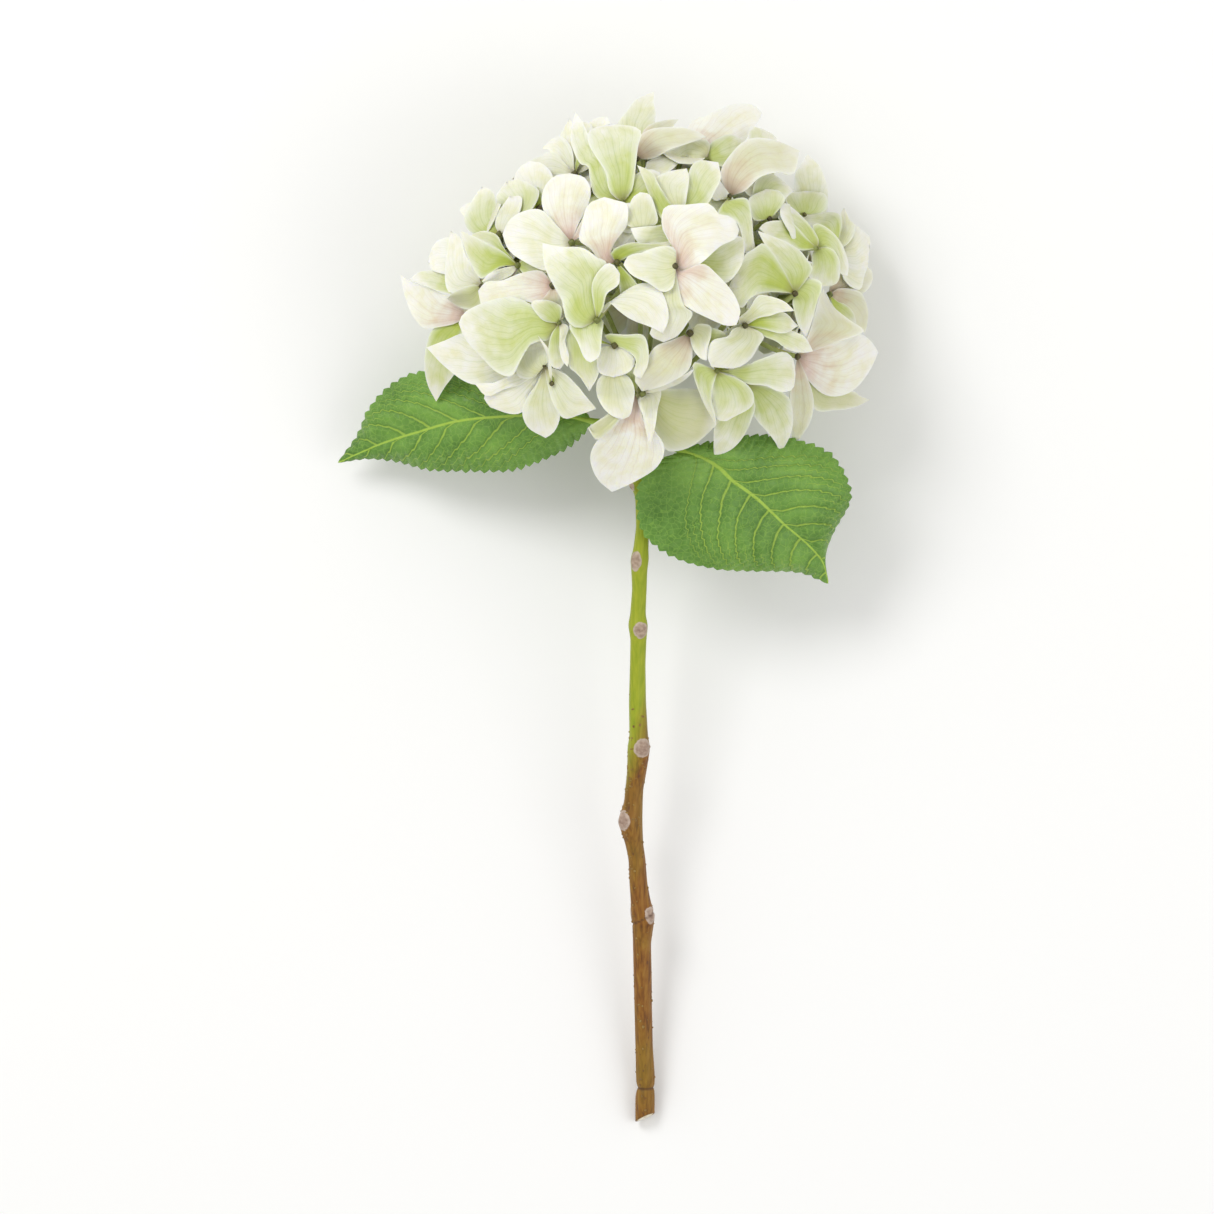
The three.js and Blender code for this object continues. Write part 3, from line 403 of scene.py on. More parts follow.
class Growth:
    """A geometry-node tree with named inputs, baked on to an object's mesh."""

    def __init__(self, name, **inputs):
        self.tree = bpy.data.node_groups.new(name, "GeometryNodeTree")
        faces = self.tree.interface
        faces.new_socket("Geometry", in_out="INPUT", socket_type="NodeSocketGeometry")
        faces.new_socket("Geometry", in_out="OUTPUT", socket_type="NodeSocketGeometry")
        self.sockets = {}
        for label, (kind, value) in inputs.items():
            socket = faces.new_socket(label, in_out="INPUT", socket_type="NodeSocket" + kind)
            self.sockets[label] = (socket.identifier, value)
        self.start = self.tree.nodes.new("NodeGroupInput")
        self.end = self.tree.nodes.new("NodeGroupOutput")

    def add(self, kind, settings=None, **links):
        node = self.tree.nodes.new(kind)
        for key, value in (settings or {}).items():
            setattr(node, key, value)
        for key, value in links.items():
            socket = node.inputs[key.replace("_", " ")]
            if isinstance(value, bpy.types.NodeSocket):
                self.tree.links.new(value, socket)
            else:
                socket.default_value = value
        return node

    def given(self, name):
        return self.start.outputs[name]

    def named(self, name, kind="FLOAT"):
        return self.add("GeometryNodeInputNamedAttribute", {"data_type": kind}, Name=name).outputs[0]

    def bake(self, piece, geometry, skin):
        """Makes what grew real, gives it the material of an input and puts it on the piece."""
        realized = self.add("GeometryNodeRealizeInstances", Geometry=geometry)
        clothed = self.add(
            "GeometryNodeSetMaterial", Geometry=realized.outputs[0], Material=self.given(skin))
        self.tree.links.new(clothed.outputs[0], self.end.inputs[0])
        modifier = piece.modifiers.new(self.tree.name, "NODES")
        modifier.node_group = self.tree
        for identifier, value in self.sockets.values():
            modifier[identifier] = value
        graph = bpy.context.evaluated_depsgraph_get()
        grown = bpy.data.meshes.new_from_object(piece.evaluated_get(graph))
        piece.modifiers.clear()
        piece.data = grown


def lenticel_material():
    wart = Nodes("lenticel", Roughness=0.7)
    grain = wart.clouds(800, 3)
    wart.colour(wart.ramp(grain, (0.3, (0.16, 0.075, 0.012)), (0.7, (0.36, 0.23, 0.06))))
    wart.bump(grain, 0.4, 0.0002)
    return wart.material


lenticels = new_object("stem_lenticels", stem.data.copy())
growth = Growth(
    "lenticels", Density=("Float", LENTICEL["per_square_metre"]), Seed=("Int", 11),
    Radius=("Float", LENTICEL["radius"] * MM), Skin=("Material", lenticel_material()))
often = growth.add("ShaderNodeMath", {"operation": "MULTIPLY"})
growth.tree.links.new(growth.named("warty"), often.inputs[0])
growth.tree.links.new(growth.given("Density"), often.inputs[1])
spots = growth.add(
    "GeometryNodeDistributePointsOnFaces", Mesh=growth.given("Geometry"), Density=often.outputs[0],
    Seed=growth.given("Seed"))
wart = growth.add("GeometryNodeMeshIcoSphere", Radius=growth.given("Radius"), Subdivisions=2)
spread = growth.add("FunctionNodeRandomValue", {"data_type": "FLOAT_VECTOR"}, Seed=growth.given("Seed"))
spread.inputs[0].default_value = LENTICEL["least"]
spread.inputs[1].default_value = LENTICEL["greatest"]
placed = growth.add(
    "GeometryNodeInstanceOnPoints", Points=spots.outputs["Points"], Instance=wart.outputs["Mesh"],
    Rotation=spots.outputs["Rotation"], Scale=spread.outputs[0])
growth.bake(lenticels, placed.outputs[0], "Skin")
lenticels.data.shade_smooth()
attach(lenticels, "root")
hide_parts("stem")


# ---------------------------------------------------------------------------
# Cut foot. The slanting cut bares pale wood inside the bark, with a darker ring
# under the bark and soft pith in the middle.
# ---------------------------------------------------------------------------
# Rings of the cut face: fraction of the stem's width, and how proud of the rim it stands.
CUT_RINGS = [
    (0.0, -0.05), (0.16, -0.05), (0.24, 0.1), (0.5, 0.16), (0.78, 0.14), (0.86, 0.0), (0.86, -0.6)]
PITH_FRACTION = 0.01
CUT_OUTWARD = np.array([0.35, -0.85, 0.4])


def foot_cut_mesh():
    rim = stem_points[:STEM_SIDES]
    middle = rim.mean(axis=0)
    points = []
    for fraction, proud in CUT_RINGS:
        points += (middle + (rim - middle) * max(fraction, PITH_FRACTION) + CUT_OUTWARD * proud).tolist()
    spread = np.repeat([fraction for fraction, _ in CUT_RINGS], STEM_SIDES)
    return points, ring_faces(len(CUT_RINGS), STEM_SIDES, flip=True), spread


def cut_wood_material():
    wood = Nodes("cut wood", Roughness=0.7)
    wavy = wood.scaled(wood.clouds(900, 3), 0.12, wood.attribute("spread"))
    rings = wood.ramp(
        wavy, (0.12, (0.55, 0.45, 0.27)), (0.26, (0.86, 0.82, 0.70)), (0.72, (0.80, 0.75, 0.60)),
        (0.86, (0.62, 0.52, 0.33)), (0.95, (0.28, 0.19, 0.10)))
    grain = wood.clouds(2600, 2)
    wood.colour(wood.mix(wood.math("MULTIPLY", grain, 0.2), rings, (0.6, 0.52, 0.36)))
    wood.bump(grain, 0.35, 0.0002)
    return wood.material


cut_points, cut_faces, cut_spread = foot_cut_mesh()
foot_cut = make_piece("foot_cut", cut_points, cut_faces, cut_wood_material(), values={"spread": cut_spread})
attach(foot_cut, "root")

# ---------------------------------------------------------------------------
# Leaves. An opposite pair under the head: thin, quilted blades with toothed
# edges, sunken side veins and a thick midrib that runs into the petiole.
# ---------------------------------------------------------------------------
LEAF_THICKNESS = 0.45
# The teeth: how far apart and how deep, how they lean and swell, and their least size and its spread.
TOOTH = {
    "pitch": 4.2, "depth": 1.5, "steps": 6, "lean": 0.3, "swell": 0.85, "sunk": 0.4,
    "least": 0.6, "more": 0.7}
LEAF_ROWS_ACROSS = 16
LEAF_CROWDING = 0.85
SHARP_ANGLE = math.radians(60)
# The half widths at which the teeth, the bulge and the quilting are fully grown.
TEETH_FULL, BULGE_FULL, QUILT_FULL = 6, 12, 14
# Side veins: how far apart as a fraction of the leaf, where the first lies on each side, the
# leaf's length in mm, how the veins bend, their grooves and the height of the quilt between them.
VEIN_SPACING = 0.112
VEIN_OFFSET = {"left": 0.3, "right": 0.62}
VEIN_SPAN = 88
VEIN_BEND = 1.15
GROOVE = {"half_width": 0.9, "depth": 0.5, "ends": 12, "last": 0.97, "edge_loss": 0.75}
QUILT = 0.75
RIPPLE = {"height": 0.5, "waves": 31, "shift": {"left": 0, "right": 2}}
# Midrib and petiole: points along each, sides, thickness from end to end and how far it is sunk.
RIB = {"points": 60, "petiole_points": 14, "sides": 12, "petiole": (1.75, 1.3), "base": 1.1, "tip": 0.12,
       "sunk": 0.75}
LEAVES = {
    "leaf_left": {
        "petiole": [(-4.6, -54.4, 64.4), (-11, -50, 60), (-19, -48.6, 57), (-25, -47.6, 56)],
        "midrib": [
            (-19, -48.6, 57), (-32, -46.5, 56), (-51, -46.5, 52), (-72, -48.4, 44),
            (-89, -53, 34), (-102, -57, 26), (-113, -61.5, 19), (-121, -65, 14)],
        "left": [
            (-19, -48.6, 57), (-22, -53, 54), (-29, -59, 50), (-38, -63.5, 47), (-52, -68, 41),
            (-72, -68.2, 35), (-85, -67.6, 29), (-98, -64.2, 23), (-110, -63.4, 18), (-121, -65, 14)],
        "right": [
            (-19, -48.6, 57), (-24, -43, 55), (-36, -37, 52), (-52, -31, 47), (-70, -28.5, 41),
            (-86, -28.5, 35), (-98, -33, 29), (-108, -43, 23), (-113, -54, 18), (-121, -65, 14)],
        "bulge": 3,
        "sweep": (0.38, 0.6),
    },
    "leaf_right": {
        "petiole": [(4.6, -56, 65.5), (10, -57.5, 70), (17, -61, 72.5), (22, -62.4, 72.6)],
        "midrib": [
            (17, -61, 72.5), (25, -63.4, 72.5), (32, -67.4, 71), (37.5, -72.6, 69), (47, -79.6, 65),
            (58, -90, 58), (67, -97.6, 51), (73.4, -105, 45), (75.6, -113.6, 40)],
        "left": [
            (17, -61, 72.5), (20.4, -59, 72), (37.6, -55.4, 70.5), (52, -54.4, 65), (64, -56.6, 60),
            (76, -61.6, 57), (83, -72, 55), (84, -81, 51), (77.6, -93, 46), (74.4, -103, 42.5),
            (75.6, -113.6, 40)],
        "right": [
            (17, -61, 72.5), (8, -64.4, 71), (1.4, -71, 70), (-1, -80, 68), (2, -94, 64.5),
            (15, -103.4, 61), (31, -107.6, 56), (46, -108.4, 51), (64, -109, 44), (75.6, -113.6, 40)],
        "bulge": 3,
        "sweep": (0.53, 0.58),
    },
}


def smooth_curve(corners, samples=400, steps=40):
    """A Catmull-Rom curve through the corners, as points evenly spread by length."""
    corners = np.array(corners, dtype=float)
    ends = np.vstack([2 * corners[0] - corners[1], corners, 2 * corners[-1] - corners[-2]])
    pieces = []
    for i in range(1, len(ends) - 2):
        t = np.linspace(0, 1, steps, endpoint=False)[:, None]
        before, start, end, after = ends[i - 1:i + 3]
        pieces.append(0.5 * (
            2 * start + (end - before) * t + (2 * before - 5 * start + 4 * end - after) * t ** 2
            + (3 * start - before - 3 * end + after) * t ** 3))
    path = np.vstack([*pieces, corners[-1:]])
    length = np.concatenate([[0], np.cumsum(np.linalg.norm(np.diff(path, axis=0), axis=1))])
    even = np.linspace(0, length[-1], samples)
    return np.stack([np.interp(even, length, path[:, k]) for k in range(3)], axis=-1), length[-1]


def sheet_normals(grid):
    along = np.gradient(grid, axis=0)
    across = np.gradient(grid, axis=1)
    normals = np.cross(along, across)
    return normals / np.maximum(np.linalg.norm(normals, axis=-1, keepdims=True), 1e-9)


def thick_sheet(grid, thickness, start=0):
    """Both faces and the rim of a sheet given by a grid of points, as points and faces."""
    offset = sheet_normals(grid) * (thickness / 2)
    points = np.concatenate([(grid + offset).reshape(-1, 3), (grid - offset).reshape(-1, 3)])
    shift = grid.size // 3
    index = start + np.arange(shift).reshape(grid.shape[:2])
    here, right = index[:-1, :-1].ravel(), index[:-1, 1:].ravel()
    ahead, corner = index[1:, :-1].ravel(), index[1:, 1:].ravel()
    faces = list(zip(here, ahead, corner, right))
    faces += list(zip(here + shift, right + shift, corner + shift, ahead + shift))
    rim = np.concatenate([index[0, :], index[1:, -1], index[-1, -2::-1], index[-2:0:-1, 0]])
    for a, b in zip(rim, np.roll(rim, -1)):
        faces.append((a, b, b + shift, a + shift))
    return points, faces


def tube(path, radii, sides, start=0):
    """A closed tube along a path of points."""
    path = np.array(path, dtype=float)
    heading = np.gradient(path, axis=0)
    heading /= np.linalg.norm(heading, axis=1, keepdims=True)
    upward = np.array([0.0, 0.0, 1.0])
    side = np.cross(heading, upward)
    side /= np.maximum(np.linalg.norm(side, axis=1, keepdims=True), 1e-6)
    up = np.cross(side, heading)
    turn = np.linspace(0, 2 * math.pi, sides, endpoint=False)
    ring = side[:, None] * np.cos(turn)[None, :, None] + up[:, None] * np.sin(turn)[None, :, None]
    points = (path[:, None] + ring * np.asarray(radii)[:, None, None]).reshape(-1, 3)
    return points, ring_faces(len(path), sides, start, flip=True)


def along_curve(curve, pick):
    return np.stack([np.interp(pick, range(len(curve)), column) for column in curve.T], axis=-1)


def leaf_half(shape, side):
    """Grid of points from the midrib to one toothed edge, with the half width and chart at each."""
    midrib, _ = smooth_curve(shape["midrib"])
    edge, _ = smooth_curve(shape[side])
    teeth = round(sum(smooth_curve(shape[name])[1] for name in ("left", "right")) / 2 / TOOTH["pitch"])
    stations = teeth * TOOTH["steps"] + 1
    t = np.linspace(0, 1, stations)
    pick = np.linspace(0, len(midrib) - 1, stations)
    middle, rim = along_curve(midrib, pick), along_curve(edge, pick)
    away = rim - middle
    width = np.linalg.norm(away[:, :2], axis=1)
    away[:, 2] = 0
    away /= np.maximum(width, 1e-3)[:, None]

    def growing(full_width):
        """0 where the blade is narrow, 1 from a certain half width on."""
        return np.clip(width / full_width, 0, 1)[:, None]

    phase = (t * teeth) % 1
    crest = 1 - TOOTH["lean"]
    saw = np.where(phase < crest, (phase / crest) ** TOOTH["swell"], (1 - phase) / (1 - crest))
    vary = np.array([noise(int(tooth) * 3.1 + len(side)) for tooth in t * teeth])
    size = TOOTH["least"] + TOOTH["more"] * vary
    rim = rim + away * ((TOOTH["depth"] * size * (saw - TOOTH["sunk"]))[:, None] * growing(TEETH_FULL))
    u = np.linspace(0, 1, LEAF_ROWS_ACROSS) ** LEAF_CROWDING
    grid = middle[:, None] + (rim - middle)[:, None] * u[None, :, None]
    grid[:, :, 2] += shape["bulge"] * np.sin(math.pi * u) * growing(BULGE_FULL)
    lean = shape["sweep"][0 if side == "left" else 1] * u ** VEIN_BEND
    origin = (t[:, None] - lean) / (1 - lean)
    count = origin / VEIN_SPACING + VEIN_OFFSET[side]
    between = np.abs(count - np.round(count))
    alive = np.clip(origin * GROOVE["ends"], 0, 1) * (1 - GROOVE["edge_loss"] * u ** 2.5)
    alive *= np.clip((GROOVE["last"] - origin) * GROOVE["ends"], 0, 1)
    groove = np.exp(-(between * VEIN_SPACING * VEIN_SPAN / GROOVE["half_width"]) ** 2) * alive
    quilt = (1 - (2 * (0.5 - between)) ** 2) * np.sin(math.pi * np.clip(u, 0.02, 0.98))
    ripple = np.sin(t * RIPPLE["waves"] + RIPPLE["shift"][side])[:, None] * u ** 3
    relief = (QUILT * quilt + RIPPLE["height"] * ripple) * growing(QUILT_FULL)
    grid[:, :, 2] += relief - GROOVE["depth"] * groove
    chart = np.broadcast_arrays(t[:, None], (1 if side == "left" else -1) * u)
    return grid, np.broadcast_to(width[:, None], between.shape), np.stack(chart, axis=-1)


def leaf_mesh(shape):
    left, right = leaf_half(shape, "left"), leaf_half(shape, "right")
    grid, wide, uv = (np.concatenate([b[:, :0:-1], a], axis=1) for a, b in zip(left, right))
    points, faces = thick_sheet(grid, LEAF_THICKNESS)
    midrib, _ = smooth_curve(shape["midrib"], RIB["points"])
    stalk, _ = smooth_curve(shape["petiole"][:3], RIB["petiole_points"])
    path = np.vstack([stalk[:-1], midrib])
    free = len(stalk) - 1
    fade = np.linspace(0, 1, len(midrib))
    radii = np.concatenate([
        np.linspace(*RIB["petiole"], free), RIB["base"] * (1 - fade) ** 1.1 + RIB["tip"]])
    path[free:, 2] -= RIB["sunk"] * radii[free:] * np.clip(fade * 6, 0, 1)
    rib, rib_faces = tube(path, radii, RIB["sides"], len(points))
    rightward = np.tile(np.arange(grid.shape[1]) < right[0].shape[1], (2, len(grid), 1)).ravel()
    # What each point of the blade has, where the rib has none, and the other way round.
    blade = {
        "sweep": np.where(rightward, *shape["sweep"][::-1]),
        "offset": np.where(rightward, VEIN_OFFSET["right"], VEIN_OFFSET["left"]),
        "wide": np.tile(wide.ravel(), 2),
    }
    values = {key: np.concatenate([column, np.zeros(len(rib))]) for key, column in blade.items()}
    root = np.concatenate([np.linspace(1, 0, free), np.zeros(len(midrib))]).repeat(RIB["sides"])
    values["petiole"] = np.concatenate([np.zeros(len(points)), root])
    uv = np.vstack([np.tile(uv.reshape(-1, 2), (2, 1)), np.tile([[0.5, 0.0]], (len(rib), 1))])
    return np.vstack([points, rib]), faces + rib_faces, uv, values


def leaf_material():
    leaf = Nodes(
        "leaf", Roughness=0.42, Subsurface_Weight=0.12, Subsurface_Radius=(0.0006, 0.0012, 0.0003),
        Specular_IOR_Level=0.4)
    broad = leaf.clouds(45, 4)
    fine = leaf.clouds(420, 4)
    blade = leaf.ramp(
        broad, (0.3, (0.062, 0.165, 0.016)), (0.5, (0.115, 0.26, 0.034)), (0.7, (0.20, 0.39, 0.055)))
    blade = leaf.mix(leaf.ramp(fine, (0.35, 0.0), (0.75, 0.5)), blade, (0.20, 0.38, 0.075))
    # The net of the finest veins.
    net = leaf.tree.nodes.new("ShaderNodeTexVoronoi")
    net.feature = "DISTANCE_TO_EDGE"
    net.inputs["Scale"].default_value = 430
    drift = leaf.add("ShaderNodeTexNoise", 1, Scale=160.0, Detail=2.0, Vector=leaf.place())
    leaf.link(leaf.moved(drift, 0.003, leaf.place()), net.inputs["Vector"])
    mesh_lines = leaf.ramp(net.outputs["Distance"], (0.015, 1.0), (0.075, 0.0))
    blade = leaf.mix(leaf.times(mesh_lines, 0.45), blade, (0.27, 0.47, 0.07))
    # Side veins, from the same rule as the grooves in the blade, which fork towards the edge.
    length, across = leaf.parts(leaf.chart())
    out = leaf.math("ABSOLUTE", across)
    lean = leaf.times(leaf.attribute("sweep"), leaf.math("POWER", out, VEIN_BEND))
    origin = leaf.math("DIVIDE", leaf.math("SUBTRACT", length, lean), leaf.math("SUBTRACT", 1, lean))
    wobble = leaf.scaled(leaf.clouds(75, 2), 0.36, -0.18)
    count = leaf.scaled(origin, 1 / VEIN_SPACING, leaf.plus(leaf.attribute("offset"), wobble))
    between = leaf.math("PINGPONG", count, 0.5)
    slim = leaf.scaled(out, -0.018, 0.068)
    lateral = leaf.ramp(leaf.math("DIVIDE", between, slim), (0.45, 1.0), (1.0, 0.0))
    fork = leaf.math("PINGPONG", leaf.scaled(count, 2, leaf.times(wobble, 2)), 0.5)
    fork = leaf.times(leaf.ramp(fork, (0.03, 0.7), (0.08, 0.0)), leaf.ramp(out, (0.5, 0.0), (0.62, 1.0)))
    alive = leaf.times(
        leaf.ramp(origin, (0.0, 0.0), (0.06, 1.0)), leaf.ramp(out, (0.75, 1.0), (0.99, 0.3)))
    lateral = leaf.times(leaf.math("MAXIMUM", lateral, fork), alive)
    # Painted shade: the blade is darkened along both sides of each side vein, where it sinks into its
    # groove.
    vein_groove_shade = leaf.times(leaf.ramp(between, (0.03, 1.0), (0.2, 0.0)), alive)
    blade = leaf.mix(leaf.times(vein_groove_shade, 0.5), blade, (0.05, 0.145, 0.015))
    # The midrib, which narrows towards the tip.
    strip = leaf.scaled(length, -0.65, 0.95)
    central = leaf.math("DIVIDE", leaf.times(out, leaf.attribute("wide")), strip)
    central = leaf.ramp(central, (0.5, 1.0), (1.0, 0.0))
    vein = leaf.math("MAXIMUM", leaf.times(lateral, 0.8), central)
    blade = leaf.mix(leaf.times(vein, 0.95), blade, (0.38, 0.56, 0.07))
    root = leaf.ramp(leaf.attribute("petiole"), (0.1, 0.0), (0.9, 0.85))
    leaf.colour(leaf.mix(root, blade, (0.33, 0.18, 0.07)))
    height = leaf.scaled(mesh_lines, -0.5, leaf.times(fine, 0.5))
    leaf.bump(leaf.scaled(lateral, -1.2, height), 0.45, 0.0003)
    return leaf.material


leaf_green = leaf_material()
for leaf_name, leaf_shape in LEAVES.items():
    leaf_points, leaf_faces, leaf_uv, leaf_values = leaf_mesh(leaf_shape)
    blade = make_piece(leaf_name + "_blade", leaf_points, leaf_faces, leaf_green, leaf_uv, leaf_values)
    blade.data.set_sharp_from_angle(angle=SHARP_ANGLE)
    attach(blade, "root")
    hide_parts(leaf_name)


# ---------------------------------------------------------------------------
# Sepals. What looks like petals: papery, finely veined sepals set in fours round
# each floret's eye, limp enough to cup, curl and fold over one another.
# ---------------------------------------------------------------------------
SEPAL_THICKNESS = 0.36
SEPAL_GRID = (20, 12)
TABLE_CONTACT = 0.2
DOME = {"half_width": 76, "half_length": 66, "foot": 60, "rise": 70, "power": 2.5}
CLIMB = 0.9
HANG = 0.3
BEND = 0.5
BEND_MORE = 3
SEPAL_ARCH = 0.09
COVERED_LEVEL = -12
# The plain outline: how it opens at the base and how blunt it is at the tip.
SEPAL_OPENING = 0.72
SEPAL_BLUNT = 0.6
# A sepal's own shape, as fractions of its length or width.
CUP = {"depth": 0.3, "middle": 0.55}
CURL = {"height": 0.12, "middle": 0.6, "from": 0.62}
FRILLS = [(0.06, 2.5), (0.018, 3)]
CREASE = {"depth": 0.05, "half_width": 0.2}
SEPAL_CHART = 60

# How much lime, how much rose at the base, and how olive-grey the whole sepal is; on the shade sepals,
# which lie deep in the head, this olive-grey is painted shade.
TINTS = {
    "white": (0.20, 0.04, 0.0), "cream": (0.42, 0.10, 0.12), "green": (0.82, 0.0, 0.08),
    "lime": (1.0, 0.0, 0.35), "pink": (0.14, 0.75, 0.0), "rose": (0.22, 0.62, 0.45),
    "shade": (0.42, 0.05, 0.75),
}

